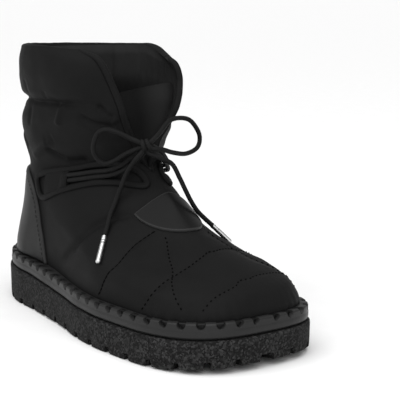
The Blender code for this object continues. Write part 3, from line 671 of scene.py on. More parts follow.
@dataclass(frozen=True)
class Stitch:
    """One kind of stitch: its length, the gap after it and its thread's thickness."""

    length: float
    gap: float
    thick: float
    sunk: float = 0.1

    def sew(self, form: Form, route: Array, normals: Array) -> None:
        """Lay a row of stitches along a route on a surface, as small rounded threads.

        Args:
            form: what the threads are added to.
            route: the row's points.
            normals: the surface's normals there.
        """
        run = run_along(route)
        lying = Matrix.Rotation(math.pi / 2, 4, "Y")
        for start in np.arange(self.gap, run[-1] - self.length, self.length + self.gap):
            middle = start + self.length / 2
            up = unit(places_at(middle, run, normals))
            along = unit(places_at(start + self.length, run, route) - places_at(start, run, route))
            axes = [along * self.length / 2, np.cross(up, along) * self.thick / 2, up * self.thick / 2]
            turn = Matrix(np.column_stack(axes).tolist()).to_4x4()
            turn.translation = Vector(places_at(middle, run, route) + up * self.thick * self.sunk)
            bmesh.ops.create_uvsphere(form, u_segments=8, v_segments=5, radius=1.0,
                                      matrix=Matrix.Scale(MM, 4) @ turn @ lying)


# Materials.
class Mix(Enum):
    """What a mix node blends: its type, and the places of its two inputs and its output."""

    COLOUR = ("RGBA", 6, 7, 2)
    VECTOR = ("VECTOR", 4, 5, 1)


class Graph:
    """A short way to add nodes to a tree and to link them."""

    def __init__(self, tree: Tree) -> None:
        """Args: tree: the tree that the nodes go in."""
        self.tree = tree

    def put(self, socket: Socket, value: Socket | float | tuple) -> None:
        """Set an input, or link it where the value is another node's output."""
        if isinstance(value, Socket):
            self.tree.links.new(value, socket)
        else:
            socket.default_value = value

    def add(self, kind: str, settings: dict | None = None, **inputs: Socket | float) -> Node:
        """Add a node.

        Args:
            kind: its type.
            settings: its own properties.
            inputs: values or sockets by the inputs' names.
        Returns:
            The node.
        """
        node = self.tree.nodes.new(kind)
        for name, value in (settings or {}).items():
            setattr(node, name, value)
        for name, value in inputs.items():
            self.put(next(s for s in node.inputs if s.name == name and s.enabled), value)
        return node

    def maths(self, operation: str, first: Socket | float, second: Socket | float = 0.0) -> Socket:
        """Add a maths node. Returns: its output."""
        node = self.add("ShaderNodeMath", {"operation": operation})
        for socket, value in zip(node.inputs, (first, second)):
            self.put(socket, value)
        return node.outputs[0]

    def mix(self, kind: Mix, factor: Socket | float, first: Socket | tuple, second: Socket | tuple) -> Socket:
        """Add a mix node. Returns: its output."""
        data_type, first_input, second_input, output = kind.value
        node = self.add("ShaderNodeMix", {"data_type": data_type})
        for place, value in ((0, factor), (first_input, first), (second_input, second)):
            self.put(node.inputs[place], value)
        return node.outputs[output]

    def ramp(self, value: Socket, low: float, high: float) -> Socket:
        """Bring a value between two limits to 0 and 1. Returns: the output."""
        node = self.add("ShaderNodeMapRange")
        for name, given in (("From Min", low), ("From Max", high), ("Value", value)):
            self.put(node.inputs[name], given)
        return node.outputs["Result"]

    def use(self, tree: Tree, vector: Socket) -> Node:
        """Place a shared effect over a vector. Returns: its node."""
        return self.add("ShaderNodeGroup", {"node_tree": tree}, Vector=vector)


def effect_group(name: str, outputs: Sequence[str], build: Callable[[Graph, Socket], list[Socket]]) -> Tree:
    """Make a shared effect once, as a node group over a vector with value outputs.

    Args:
        name: the group's name.
        outputs: its outputs, values all.
        build: adds the nodes; takes the graph and the vector, and returns the outputs' sockets.
    Returns:
        The group.
    """
    if name in bpy.data.node_groups:
        return bpy.data.node_groups[name]
    tree = bpy.data.node_groups.new(name, "ShaderNodeTree")
    tree.interface.new_socket("Vector", in_out="INPUT", socket_type="NodeSocketVector")
    for output in outputs:
        tree.interface.new_socket(output, in_out="OUTPUT", socket_type="NodeSocketFloat")
    start, stop = tree.nodes.new("NodeGroupInput"), tree.nodes.new("NodeGroupOutput")
    graph = Graph(tree)
    for output, socket in zip(outputs, build(graph, start.outputs["Vector"])):
        tree.links.new(socket, stop.inputs[output])
    return tree


def weave_effect(pitch: float = 0.55) -> Tree:
    """Plain-woven threads over a UV in mm. Returns: the group."""
    def build(graph: Graph, vector: Socket) -> list[Socket]:
        """Cross two waves, with slubs."""
        split = graph.add("ShaderNodeSeparateXYZ", Vector=vector)
        warp, weft = (graph.maths("SINE", graph.maths("MULTIPLY", split.outputs[axis], 2 * math.pi / pitch))
                      for axis in ("X", "Y"))
        slub = graph.add("ShaderNodeTexNoise", Vector=vector, Scale=1.4, Detail=2.0)
        cross = graph.maths("MULTIPLY", warp, weft)
        return [graph.maths("MULTIPLY", cross, graph.maths("ADD", slub.outputs[0], 0.4))]
    return effect_group("thread_weave", ["Height"], build)


def grain_effect() -> Tree:
    """Fine pebbled grain of smooth leather over object coordinates. Returns: the group."""
    def build(graph: Graph, vector: Socket) -> list[Socket]:
        """Lay pebbles on a broader unevenness."""
        pebbles = graph.add("ShaderNodeTexVoronoi", {"feature": "SMOOTH_F1"}, Vector=vector, Scale=1100.0)
        broad = graph.add("ShaderNodeTexNoise", Vector=vector, Scale=420.0, Detail=4.0)
        half = graph.maths("MULTIPLY", pebbles.outputs["Distance"], 0.5)
        return [graph.maths("ADD", half, broad.outputs[0])]
    return effect_group("leather_grain", ["Height"], build)


def mottle_effect() -> Tree:
    """Broad soft unevenness of colour and gloss. Returns: the group."""
    def build(graph: Graph, vector: Socket) -> list[Socket]:
        """Read one broad noise."""
        broad = graph.add("ShaderNodeTexNoise", Vector=vector, Scale=38.0, Detail=5.0, Roughness=0.6)
        return [broad.outputs[0]]
    return effect_group("soft_mottle", ["Value"], build)


def crumb_effect() -> Tree:
    """Crumbs of ground rubber: a random tone for each crumb, and their relief. Returns: the group."""
    def build(graph: Graph, vector: Socket) -> list[Socket]:
        """Break cells with a wobble, and roughen them."""
        wobble = graph.add("ShaderNodeTexNoise", Vector=vector, Scale=700.0, Detail=2.0)
        moved = graph.mix(Mix.VECTOR, 0.0008, vector, wobble.outputs["Color"])
        crumbs = graph.add("ShaderNodeTexVoronoi", Vector=moved, Scale=960.0)
        tone = graph.add("ShaderNodeSeparateColor", Color=crumbs.outputs["Color"])
        fine = graph.add("ShaderNodeTexNoise", Vector=vector, Scale=2600.0, Detail=3.0)
        half = graph.maths("MULTIPLY", fine.outputs[0], 0.5)
        height = graph.maths("SUBTRACT", half, crumbs.outputs["Distance"])
        return [tone.outputs["Red"], height]
    return effect_group("rubber_crumbs", ["Tone", "Height"], build)


@dataclass(frozen=True)
class Finish:
    """A surface finish; what differs between finishes is in its fields."""

    name: str
    dark: float
    light: float
    roughness: float
    metallic: float = 0.0
    coat: float = 0.0
    coat_roughness: float = 0.35
    gloss_range: float = 0.14
    specular: float = 0.5
    weave: float = 0.0
    grain: float = 0.0
    crumbs: float = 0.0
    crumb_power: float = 2.2
    braid: float = 0.0
    braid_pitch: float = 1.25
    # Tones that marks mix into the colour: a paler line along the overlays' edges, painted light on the
    # tongue, and painted shade in seams, pockets and deep in the lining.
    pale_edge_and_painted_light_tone: float = 0.0
    painted_shade_tone: float = 0.0

    @staticmethod
    def grey(tone: float) -> tuple[float, float, float, float]:
        """A grey of that tone."""
        return (tone, tone, tone, 1.0)

    def material(self) -> Material:
        """Make the material, or give the one already made. Returns: the material."""
        if self.name in bpy.data.materials:
            return bpy.data.materials[self.name]
        made = bpy.data.materials.new(self.name)
        made.use_nodes = True
        graph = Graph(made.node_tree)
        shader = made.node_tree.nodes["Principled BSDF"]
        for name, value in (("Metallic", self.metallic), ("Coat Weight", self.coat),
                            ("Coat Roughness", self.coat_roughness), ("Specular IOR Level", self.specular)):
            shader.inputs[name].default_value = value
        tone, heights = self._effects(graph, graph.add("ShaderNodeTexCoord"))
        colour = graph.mix(Mix.COLOUR, tone, self.grey(self.dark), self.grey(self.light))
        # Marks mix in their tones: the first gives a paler edge line and the tongue's painted light, the
        # second painted shade in seams, pockets and deep in the lining.
        for mark, tone_there in (("edge", self.pale_edge_and_painted_light_tone), ("painted_shade", self.painted_shade_tone)):
            if tone_there:
                there = graph.add("ShaderNodeAttribute", {"attribute_name": mark})
                colour = graph.mix(Mix.COLOUR, there.outputs["Fac"], colour, self.grey(tone_there))
        graph.put(shader.inputs["Base Color"], colour)
        gloss = graph.maths("MULTIPLY", tone, self.gloss_range)
        gloss = graph.maths("ADD", gloss, self.roughness - self.gloss_range / 2)
        graph.put(shader.inputs["Roughness"], gloss)
        normal = None
        for height, depth in heights:
            bump = graph.add("ShaderNodeBump", Height=height, Distance=depth, Strength=1.0)
            if normal is not None:
                graph.put(bump.inputs["Normal"], normal)
            normal = bump.outputs["Normal"]
        if normal is not None:
            graph.put(shader.inputs["Normal"], normal)
        return made

    def _effects(self, graph: Graph, place: Node) -> tuple[Socket, list[tuple[Socket, float]]]:
        """Add the shared effects.

        Args:
            graph: the material's graph.
            place: its texture coordinates.
        Returns:
            The tone's socket, and (height, depth in metres) for each relief.
        """
        solid, laid = place.outputs["Object"], place.outputs["UV"]
        tone = graph.ramp(graph.use(mottle_effect(), solid).outputs["Value"], 0.3, 0.7)
        heights = []
        if self.weave:
            heights.append((graph.use(weave_effect(), laid).outputs["Height"], self.weave * MM))
        if self.grain:
            heights.append((graph.use(grain_effect(), solid).outputs["Height"], self.grain * MM))
        if self.crumbs:
            crumbs = graph.use(crumb_effect(), solid)
            tone = graph.ramp(graph.maths("POWER", crumbs.outputs["Tone"], self.crumb_power), 0.0, 1.0)
            heights.append((crumbs.outputs["Height"], self.crumbs * MM))
        if self.braid:
            heights.append((self._braided(graph, laid), self.braid * MM))
        return tone, heights

    def _braided(self, graph: Graph, laid: Socket) -> Socket:
        """Cross strands round a cord.

        Args:
            graph: the material's graph.
            laid: the cord's UV in mm.
        Returns:
            The height's socket.
        """
        split = graph.add("ShaderNodeSeparateXYZ", Vector=laid)
        waves = []
        for sign in ("ADD", "SUBTRACT"):
            slant = graph.maths(sign, split.outputs["Y"], split.outputs["X"])
            waves.append(graph.maths("SINE", graph.maths("MULTIPLY", slant, 2 * math.pi / self.braid_pitch)))
        return graph.maths("MAXIMUM", *waves)


# The darker mark tones of the nylon, lining and welt are painted shade, for the shaft's seams, the deep
# lining and the welt's pockets.
NYLON = Finish("quilted_nylon", 0.0066, 0.0090, 0.60, weave=0.014, specular=0.055, painted_shade_tone=0.0012)
# The tongue wears the nylon in darker tones as painted shade, for where it lies back inside the flaps; its
# edge tone is painted light on the part of its front that faces the light.
TONGUE_PAINTED_SHADE = Finish("tongue_nylon_painted_shade", 0.0040, 0.0056, 0.60, weave=0.014, specular=0.055, pale_edge_and_painted_light_tone=0.027)
LINING = Finish("soft_lining", 0.018, 0.023, 0.85, weave=0.03, specular=0.06, painted_shade_tone=0.004)
FELT = Finish("bed_felt", 0.020, 0.030, 0.95, grain=0.06, specular=0.10)
LEATHER = Finish("counter_leather", 0.0052, 0.0070, 0.44, grain=0.010, coat=0.01, specular=0.10,
                 pale_edge_and_painted_light_tone=0.032)
PATCH = Finish("patch_leather", 0.0042, 0.0056, 0.38, grain=0.010, coat=0.01, specular=0.09, pale_edge_and_painted_light_tone=0.034)
WELT = Finish("welt_rubber", 0.0150, 0.0195, 0.45, grain=0.008, coat=0.02, specular=0.17, painted_shade_tone=0.002)
CRUMB = Finish("sole_crumb", 0.006, 0.040, 0.85, crumbs=0.22, specular=0.10)
WEBBING = Finish("woven_tape", 0.0050, 0.0075, 0.70, weave=0.03, specular=0.08)
PIPING = Finish("piping", 0.0058, 0.0080, 0.60, weave=0.02, specular=0.07)
THREAD = Finish("thread", 0.010, 0.015, 0.70, specular=0.12)
DARK_THREAD = Finish("dark_thread", 0.0024, 0.0034, 0.90, specular=0.0)
CORD = Finish("braided_lace", 0.0066, 0.0098, 0.60, braid=0.08, specular=0.10)
METAL = Finish("bright_tip", 0.62, 0.72, 0.28, metallic=1.0)
FLOOR = Finish("pale_floor", 0.88, 0.90, 0.90, specular=0.1)


@dataclass
class Piece:
    """What every sub-assembly shares: a last, and how a finished piece joins the frame."""

    last: Last
    made: list[Object] = field(default_factory=list, init=False)

    def join(self, piece: Object, slot: str, *nodes: str) -> Object:
        """Have a piece ride on the boot in place of the CAD nodes that it stands for.

        Args:
            piece: the finished piece.
            slot: the material slot that it takes; not used.
            nodes: the CAD nodes that it stands for.
        Returns:
            The piece.
        """
        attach(piece, "root")
        if nodes:
            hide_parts(*nodes)
        self.made.append(piece)
        return piece

    def make(self, grid: Grid, name: str, finish: Finish, slot: str, *nodes: str, cap: bool = False,
             thick: float = 0.0) -> Object:
        """Make a piece of a grid, and join it.

        Args:
            grid, name, finish: its points, name and finish.
            slot, nodes: the material slot that it takes, and the CAD nodes that it stands for.
            cap: whether its open ends are filled.
            thick: the thickness that a sheet is given.
        Returns:
            The piece.
        """
        piece = grid.mesh_object(name, finish.material(), cap)
        if thick:
            thicken(piece, thick)
        return self.join(piece, slot, *nodes)

    def surface_uv(self, turn: Array, height: Array) -> Array:
        """A UV in mm over the upper: round the boot and up it."""
        return np.stack([np.broadcast_to(turn, height.shape) * GIRTH, height], axis=-1)


@dataclass(frozen=True)
class Crease:
    """A fold: its route on the boot, how deep it is (negative for a ridge) and how wide."""

    route: tuple
    depth: float
    width: float
    fade: float = 0.22
    end_share: float = 0.15

    def on_upper(self, last: Last, side: Side) -> Array:
        """The route's points on one side of the upper, where it is given as turns and heights."""
        pairs = np.array(self.route, float)
        return smooth_route(last.outside(side.turn(pairs[:, 0]), pairs[:, 1]), 1.0)

    def lift(self, points: Array, route: Array) -> Array:
        """What the fold adds to a surface along its normal.

        Args:
            points: the surface's points.
            route: the fold's points in mm.
        Returns:
            The lift at each point.
        """
        distance, place = nearest(points, route)
        run = run_along(route)[-1]
        ends = smoothstep(np.minimum(place, run - place) / (self.fade * run) + self.end_share)
        return -self.depth * bell(distance, self.width) * ends


@dataclass(frozen=True)
class Seam:
    """A quilting seam: its fold, whether it is on both sides and how it is sewn."""

    fold: Crease
    paired: bool
    stitch: Stitch | None


@dataclass(frozen=True)
class Leaf:
    """The instep patch's outline in plan."""

    half: float = 20.5
    back: float = 31.0
    back_bow: float = 5.4
    front: float = 32.0
    front_bow: float = 30.0
    front_power: float = 0.6

    def ends(self, across: Array) -> tuple[Array, Array]:
        """The X of its back and front edges, from -1 to 1 across it."""
        bow = np.clip(1 - across ** 2, 0.0, 1.0)
        return self.back + self.back_bow * bow, self.front + self.front_bow * bow ** self.front_power


@dataclass
class Vamp(Piece):
    """The upper from the welt to the ankle: quilted nylon over the foot."""

    columns: int = 400
    rows: int = 104
    cloth: float = 1.4
    tuck: float = 1.0
    front_weight: float = 0.7
    seams: tuple[Seam, ...] = (
        Seam(Crease(((-26.7, -41.6, 37.0), (-1.7, -43.9, 54.7), (7.9, -36.4, 66.8), (17.9, -29.6, 72.9),
                     (31.5, -20.3, 76.8)), 2.0, 2.8), True, None),
        Seam(Crease(((37.0, -50.6, 29.6), (47.3, -45.3, 50.0), (45.3, -28.9, 61.7), (49.7, -13.3, 70.7)),
                    0.9, 1.7), True, Stitch(3.0, 0.2, 0.8)),
        Seam(Crease(((54.6, -13.0, 67.8), (68.6, -20.5, 58.2), (85.0, -28.0, 50.4), (105.0, -37.3, 37.5),
                     (108.0, -38.3, 32.0)), 0.5, 1.6), True, Stitch(1.5, 2.1, 0.9)),
        Seam(Crease(((80.7, -47.7, 28.6), (86.5, -44.4, 39.5), (87.0, -29.5, 49.5), (85.0, -13.0, 55.3),
                     (78.0, 11.0, 59.4), (70.0, 30.0, 55.0), (60.0, 46.0, 44.0), (54.0, 52.5, 30.0)),
                    0.6, 1.6), False, Stitch(1.9, 1.5, 0.8)),
        Seam(Crease(((116.7, -31.0, 32.0), (116.6, -12.4, 43.7), (113.0, 0.7, 47.4), (108.0, 19.0, 48.0),
                     (100.0, 36.0, 43.0), (92.0, 48.0, 34.0)), 0.45, 1.6), False, Stitch(1.5, 2.0, 0.7)),
    )
    split_line: tuple = (
        (0.0, 100.0), (0.03, 100.4), (0.07, 101.2), (0.102, 103.4), (0.134, 104.0), (0.167, 103.0),
        (0.2, 100.5), (0.247, 97.6), (0.293, 94.1), (0.34, 92.0), (0.5, 92.0),
    )
    stitch_lift: float = 0.1
    stitch_crown: Ramp = Ramp(44.0, 10.0)
    stitch_smooth: int = 7
    puff: float = 0.8
    puff_ramp: Ramp = Ramp(0.0, 15.0)
    free_back: Ramp = Ramp(-58.0, 16.0)
    free_low: Ramp = Ramp(34.0, 10.0)
    free_high: Ramp = Ramp(97.0, -12.0)
    wrinkle: float = 0.22
    wrinkle_size: tuple = (15.0, 15.0, 11.0)
    welt_height: float = 10.0
    welt_press: float = 0.5
    welt_fade: float = 2.0
    toe_ramp: Ramp = Ramp(70.0, 30.0)
    toe_middle: float = 60.0
    toe_radius: float = 62.0
    toe_fill: float = 1.6
    fill_ramp: Ramp = Ramp(52.0, -14.0)
    gather: float = 0.35
    gather_pitch: float = 6.4
    gather_fade: float = 5.0
    leaf: Leaf = Leaf()
    leaf_ramp: Ramp = Ramp(-3.0, 3.0)

    def split(self, turn: Array) -> Array:
        """The height at which the vamp goes under the shaft."""
        return np.interp(from_front(turn), *np.array(self.split_line).T)

    def build(self) -> None:
        """Model the vamp with its quilting, and dress it."""
        last, noise = self.last, Noise(11)
        turn = np.linspace(0, 1, self.columns, endpoint=False)[None, :] + 0.5 / self.columns
        trial = np.linspace(last.foot, last.throat_foot, 200)
        front = last.upper.read("front", trial)
        run = run_along(np.stack([trial, self.front_weight * front], axis=-1))
        spread = (trial - trial[0]) / (trial[-1] - trial[0])
        share = np.interp(np.linspace(0, run[-1], self.rows), run, spread)
        height = last.foot + (self.split(turn) + self.tuck - last.foot) * share[:, None]
        turn = np.broadcast_to(turn, height.shape)
        base = last.outside(turn, height)
        lift = self.relief(base, height, noise)
        points = base + last.normal(turn, height) * lift[..., None]
        grid = Grid(points, self.surface_uv(turn, height), wrap=True)
        self.make(grid, "upper_vamp", NYLON, "padded_nylon", "upper", thick=self.cloth)
        self.sew(noise)

    def routes(self) -> list[tuple[Seam, Array]]:
        """Each seam with its points, the paired ones on both sides."""
        found = []
        for seam in self.seams:
            route = smooth_route(seam.fold.route, 1.0)
            found.append((seam, route))
            if seam.paired:
                found.append((seam, self.last.mirrored(route)))
        return found

    def relief(self, base: Array, height: Array, noise: Noise) -> Array:
        """The quilting, folds and gathers over the vamp.

        Args:
            base: places on its smooth face.
            height: their table heights.
            noise: the vamp's noise.
        Returns:
            What they add along the normal, in mm.
        """
        lift = np.zeros(height.shape)
        apart = np.full(height.shape, np.inf)
        for seam, route in self.routes():
            lift = lift + seam.fold.lift(base, route)
            apart = np.minimum(apart, nearest(base, route)[0])
        x, y, z = np.moveaxis(base, -1, 0)
        free = self.free_back.at(x) * self.free_low.at(height)
        lift = lift + self.puff * self.puff_ramp.at(apart) * free * self.free_high.at(height)
        lift = lift + self.wrinkle * noise.at(base, self.wrinkle_size) * free
        lift = lift * (1 - self.leaf_cover(base))
        above = np.maximum(z - (self.last.sole_top(x) + self.welt_height), 0.0)
        run = np.arctan2(y, x - self.toe_middle) * self.toe_radius
        toe = self.toe_ramp.at(x)
        wave = np.sin(2 * math.pi * run / self.gather_pitch + 3.0 * noise.at(base, 18.0))
        lift = lift + self.gather * toe * wave * np.exp(-above / self.gather_fade)
        lift = lift + self.toe_fill * toe * self.fill_ramp.at(height)
        return lift - self.welt_press * np.exp(-above / self.welt_fade) * free

    def leaf_cover(self, base: Array) -> Array:
        """Where the instep patch lies on the vamp: 1 under it, fading to 0 outside."""
        x = base[..., 0]
        across = (base[..., 1] - self.last.centre(x)) / self.leaf.half
        back, front = self.leaf.ends(across)
        inside = np.minimum(x - back, front - x)
        return self.leaf_ramp.at(inside) * (np.abs(across) < 1.05) * (base[..., 2] > 60.0)

    def sew(self, noise: Noise) -> None:
        """Lay the quilting's stitches along its seams."""
        form, last, ends = bmesh.new(), self.last, self.stitch_smooth
        for seam, route in self.routes():
            if seam.stitch is None:
                continue
            x, y, z = route.T
            beside = last.height_of(x, z)
            height = beside + (last.crown_height(x, y) - beside) * self.stitch_crown.at(z)
            even = np.full(2 * ends + 1, 1 / (2 * ends + 1))
            height = np.convolve(np.pad(height, ends, mode="edge"), even, "valid")
            side = last.turn_at(x, height)
            turn = np.where(y < last.centre(x), side, 1 - side)
            places, normal = last.outside(turn, height), last.normal(turn, height)
            lift = self.relief(places, height, noise) + self.stitch_lift
            seam.stitch.sew(form, places + normal * lift[:, None], normal)
        self.join(finished(form, "quilt_stitches", DARK_THREAD.material()), "padded_nylon")


@dataclass
class Shaft(Piece):
    """The padded shaft: its lower part, the cuff over it, the rolled rim and the lining inside."""

    vamp: Vamp
    columns: int = 330
    rows: int = 112
    edge_steps: int = 6
    rim_steps: int = 13
    rim_step: float = 0.75
    hem_level: float = 103.0
    hem_tuck: float = 1.4
    hem_fade: float = 5.0
    top_drop: float = 1.8
    pad_depth: float = 3.4
    pad_foot: Ramp = Ramp(140.0, 18.0)
    pad_rim: Ramp = Ramp(181.0, -9.0)
    pad_flap: Ramp = Ramp(0.0, 0.22)
    deep_ramp: Ramp = Ramp(154.0, -22.0)
    deep_back: Ramp = Ramp(0.15, 0.08)
    flap_fade: float = 0.05
    groove: float = 142.6
    groove_depth: float = 2.3
    groove_width: float = 2.2
    groove_wave: float = 1.5
    groove_front: float = 0.25
    groove_ramp: Ramp = Ramp(0.15, 0.07)
    pucker: float = 0.45
    pucker_fade: float = 7.0
    wrinkles: tuple = ((0.40, (22.0, 22.0, 9.0)), (0.20, (9.0, 9.0, 6.0)))
    medial_share: float = 0.8
    foot_top: float = 104.0
    foot_sink: float = 1.6
    sink_ramp: Ramp = Ramp(86.0, 6.0)
    folds: tuple[Crease, ...] = (
        Crease(((0.214, 143.8), (0.219, 136.4), (0.223, 129.0)), -1.5, 2.3),
        Crease(((0.181, 136.1), (0.166, 133.8), (0.150, 131.6), (0.129, 129.7), (0.109, 128.1)), 2.3, 2.5),
        Crease(((0.142, 143.1), (0.133, 139.6), (0.123, 136.7), (0.108, 134.8)), 2.0, 2.2),
        Crease(((0.128, 138.3), (0.114, 134.8), (0.104, 132.2)), -1.1, 2.4),
        Crease(((0.259, 117.5), (0.238, 121.0)), 1.1, 3.0),
        Crease(((0.314, 104.0), (0.270, 113.3), (0.239, 120.0)), -1.7, 2.8),
        Crease(((0.261, 112.7), (0.244, 109.1), (0.224, 105.0)), 2.0, 2.6),
        Crease(((0.229, 103.7), (0.200, 104.6), (0.173, 106.6)), 2.2, 2.6),
        Crease(((0.405, 128.0), (0.355, 119.0), (0.320, 110.0)), 1.4, 3.0),
        Crease(((0.462, 148.0), (0.459, 160.0), (0.463, 172.0)), 1.9, 2.4),
        Crease(((0.455, 108.0), (0.425, 106.5)), 0.9, 1.8),
        Crease(((0.457, 115.0), (0.430, 114.0)), 0.9, 1.8),
        Crease(((0.457, 122.5), (0.420, 124.0)), 0.9, 2.0),
        Crease(((0.456, 131.0), (0.425, 133.0)), 0.8, 2.0),
        Crease(((0.300, 145.0), (0.306, 152.0), (0.305, 158.0)), 0.7, 2.6),
        Crease(((0.372, 145.0), (0.366, 152.0)), 0.8, 2.4),
        Crease(((0.250, 145.0), (0.246, 151.0)), 0.7, 2.2),
        Crease(((0.310, 140.0), (0.300, 133.0), (0.303, 127.0)), 0.9, 2.6),
        Crease(((0.385, 140.0), (0.380, 134.0)), 0.9, 2.2),
    )

    def turns(self, share: Array, height: Array) -> Array:
        """Turns from one flap's edge round the heel to the other's."""
        first, second = (self.last.throat_turn(height, side) for side in Side)
        return first + (1 - first - second) * share

    def build(self) -> None:
        """Model the shaft, its rim and the lining, and dress them."""
        last, noise = self.last, Noise(23)
        share = np.linspace(0, 1, self.columns)[None, :]
        rise = np.linspace(0, 1, self.rows)[:, None]
        foot = self.vamp.split(self.turns(share, np.full_like(share, self.hem_level)))
        height = foot + (last.rim - self.top_drop - foot) * rise
        turn = self.turns(share, height)
        base, normal = last.outside(turn, height), last.normal(turn, height)
        outer = base + normal * self.relief(base, turn, height, noise)[..., None]
        outer[0] -= normal[0] * self.hem_tuck
        depth = self.lining_depth(base, height, share, noise)
        outer, inner = self.with_edges(outer, last.base(turn, height) - normal * depth[..., None])
        sides = ((0, 0), (self.edge_steps, self.edge_steps))
        turn = np.pad(turn, sides, mode="reflect", reflect_type="odd")
        run = self.build_cover(outer, inner, turn, height[:, self.columns // 2])
        self.build_lining(inner[::-2], turn[::-2], np.pad(height[::-2], sides, mode="edge"), run)
        self.line_foot(noise)

    def lining_depth(self, base: Array, height: Array, share: Array, noise: Noise) -> Array:
        """How deep the lining lies: padded and gathered under the rim, thin at the flaps.

        Args:
            base, height: places on the outer face, and their table heights.
            share: how far from one flap to the other they lie.
            noise: the shaft's noise.
        Returns:
            The depth at each place.
        """
        wall = self.last.wall
        padding = self.pad_foot.at(height) * self.pad_rim.at(height)
        gathers = noise.at(base, (8.0, 8.0, 60.0)) + 0.6 * noise.at(base, (4.5, 4.5, 40.0))
        depth = wall + (self.pad_depth + 0.9 * gathers) * padding + 0.3 * gathers
        return wall + (depth - wall) * self.pad_flap.at(np.minimum(share, 1 - share) * np.ones_like(height))

    def build_cover(self, outer: Array, inner: Array, turn: Array, height: Array) -> Array:
        """Model the shaft's outside with its rolled rim.

        Args:
            outer, inner: the rows of its outside and of its lining.
            turn: their turns.
            height: the rows' heights at the back.
        Returns:
            The length run up the rows and over the rim.
        """
        over_rim = np.linspace(0, math.pi, self.rim_steps)[1:-1]
        rolled = self.rounded(outer[-1], inner[-1], outer[-1] - outer[-4], over_rim)
        cover = np.concatenate([outer, rolled, inner[-1:]])
        over = len(cover) - self.rows
        run = np.concatenate([height, self.last.rim + self.rim_step * np.arange(over)])
        around = np.concatenate([turn, np.repeat(turn[-1:], over, axis=0)])
        uv = self.surface_uv(around, run[:, None] * np.ones_like(around))
        # Painted shade: the two columns beside each flap's rounded edge are darkened, as the shadow in the
        # seam by the binding.
        painted_shade = np.zeros(cover.shape[:2])
        for column in (self.edge_steps, self.edge_steps + 1):
            painted_shade[:, [column, -column - 1]] = 1.0
        grid = Grid(cover, uv, marks={"painted_shade": painted_shade})
        self.make(grid, "upper_shaft", NYLON, "padded_nylon", "upper")
        return run

    def build_lining(self, lining: Array, turn: Array, height: Array, run: Array) -> None:
        """Model the shaft's lining, with painted shade that darkens it deep inside.

        Args:
            lining: its rows, from the rim down.
            turn, height: their turns and table heights.
            run: the length run down them.
        """
        uv = self.surface_uv(turn, run[:len(lining), None] * np.ones((1, turn.shape[1])))
        # Painted shade: the lining darkens below the rim and away from the front, where it lies deep in the
        # shaft.
        marks = {"painted_shade": self.deep_ramp.at(height) * self.deep_back.at(from_front(turn))}
        self.make(Grid(lining, uv, marks=marks), "upper_lining", LINING, "padded_nylon", "upper")

    def with_edges(self, outer: Array, inner: Array) -> tuple[Array, Array]:
        """Round both flaps' free edges, so that the outside and the lining meet along them.

        Args:
            outer, inner: the rows of the outside and of the lining.
        Returns:
            Both, with the columns of the rounded edges added.
        """
        angles = np.linspace(0, math.pi / 2, self.edge_steps + 1)[1:]
        sheets = []
        for sheet, way_round in ((outer, angles), (inner, math.pi - angles)):
            arcs = []
            for column, beside in ((0, 3), (-1, -4)):
                away = outer[:, column] - outer[:, beside]
                arcs.append(self.rounded(outer[:, column], inner[:, column], away, way_round).swapaxes(0, 1))
            sheets.append(np.concatenate([arcs[0][:, ::-1], sheet, arcs[1]], axis=1))
        return sheets[0], sheets[1]

    @staticmethod
    def rounded(outer: Array, inner: Array, away: Array, angles: Array) -> Array:
        """Roll round from the outside to the lining.

        Args:
            outer, inner: a line on the outside, and the lining behind it.
            away: the way out past them.
            angles: how far round each line made lies, from 0 outside to pi inside.
        Returns:
            The lines, one for each angle.
        """
        middle, half = 0.5 * (outer + inner), 0.5 * (outer - inner)
        away = unit(away - unit(half) * np.sum(away * unit(half), axis=-1, keepdims=True))
        reach = away * np.linalg.norm(half, axis=-1, keepdims=True)
        return np.array([middle + half * math.cos(angle) + reach * math.sin(angle) for angle in angles])

    def relief(self, base: Array, turn: Array, height: Array, noise: Noise) -> Array:
        """The groove, folds and small wrinkles over the shaft.

        Args:
            base: places on its smooth face.
            turn, height: their turns and table heights.
            noise: the shaft's noise.
        Returns:
            What they add along the normal, in mm.
        """
        flap = smoothstep((from_front(turn) - self.last.flap_edge(turn, height)) / self.flap_fade)
        level = base[..., 2] - self.groove - self.groove_wave * noise.at(base, (24.0, 24.0, 300.0))
        puckers = noise.at(base * (1.0, 1.0, 0.35), 7.0)
        reach = self.groove_front + (1 - self.groove_front) * self.groove_ramp.at(from_front(turn))
        lift = -self.groove_depth * bell(level, self.groove_width) * flap * reach
        lift = lift + self.pucker * puckers * np.exp(-np.abs(level) / self.pucker_fade) * flap
        for depth, size in self.wrinkles:
            lift = lift + depth * noise.at(base, size) * flap
        for fold in self.folds:
            for side, share in ((Side.LATERAL, 1.0), (Side.MEDIAL, self.medial_share)):
                lift = lift + fold.lift(base, fold.on_upper(self.last, side)) * share
        hem = smoothstep((height - self.vamp.split(turn)) / self.hem_fade)
        return lift * hem * smoothstep((self.last.rim - height) / self.hem_fade + 0.25)

    def line_foot(self, noise: Noise) -> None:
        """Model the lining round the foot, whose top lies behind the shaft's."""
        last = self.last
        turn = np.linspace(0, 1, 150, endpoint=False)[None, :]
        height = np.linspace(last.foot + 1.0, self.foot_top, 44)[:, None] * np.ones_like(turn)
        turn = np.broadcast_to(turn, height.shape)
        base = last.base(turn, height)
        depth = last.wall + 0.3 * noise.at(base, (16.0, 16.0, 24.0))
        depth = depth - self.foot_sink * self.sink_ramp.at(height)
        points = base - last.normal(turn, height) * depth[..., None]
        grid = Grid(points, self.surface_uv(turn, height), wrap=True)
        self.make(grid, "foot_lining", LINING, "padded_nylon", "upper")


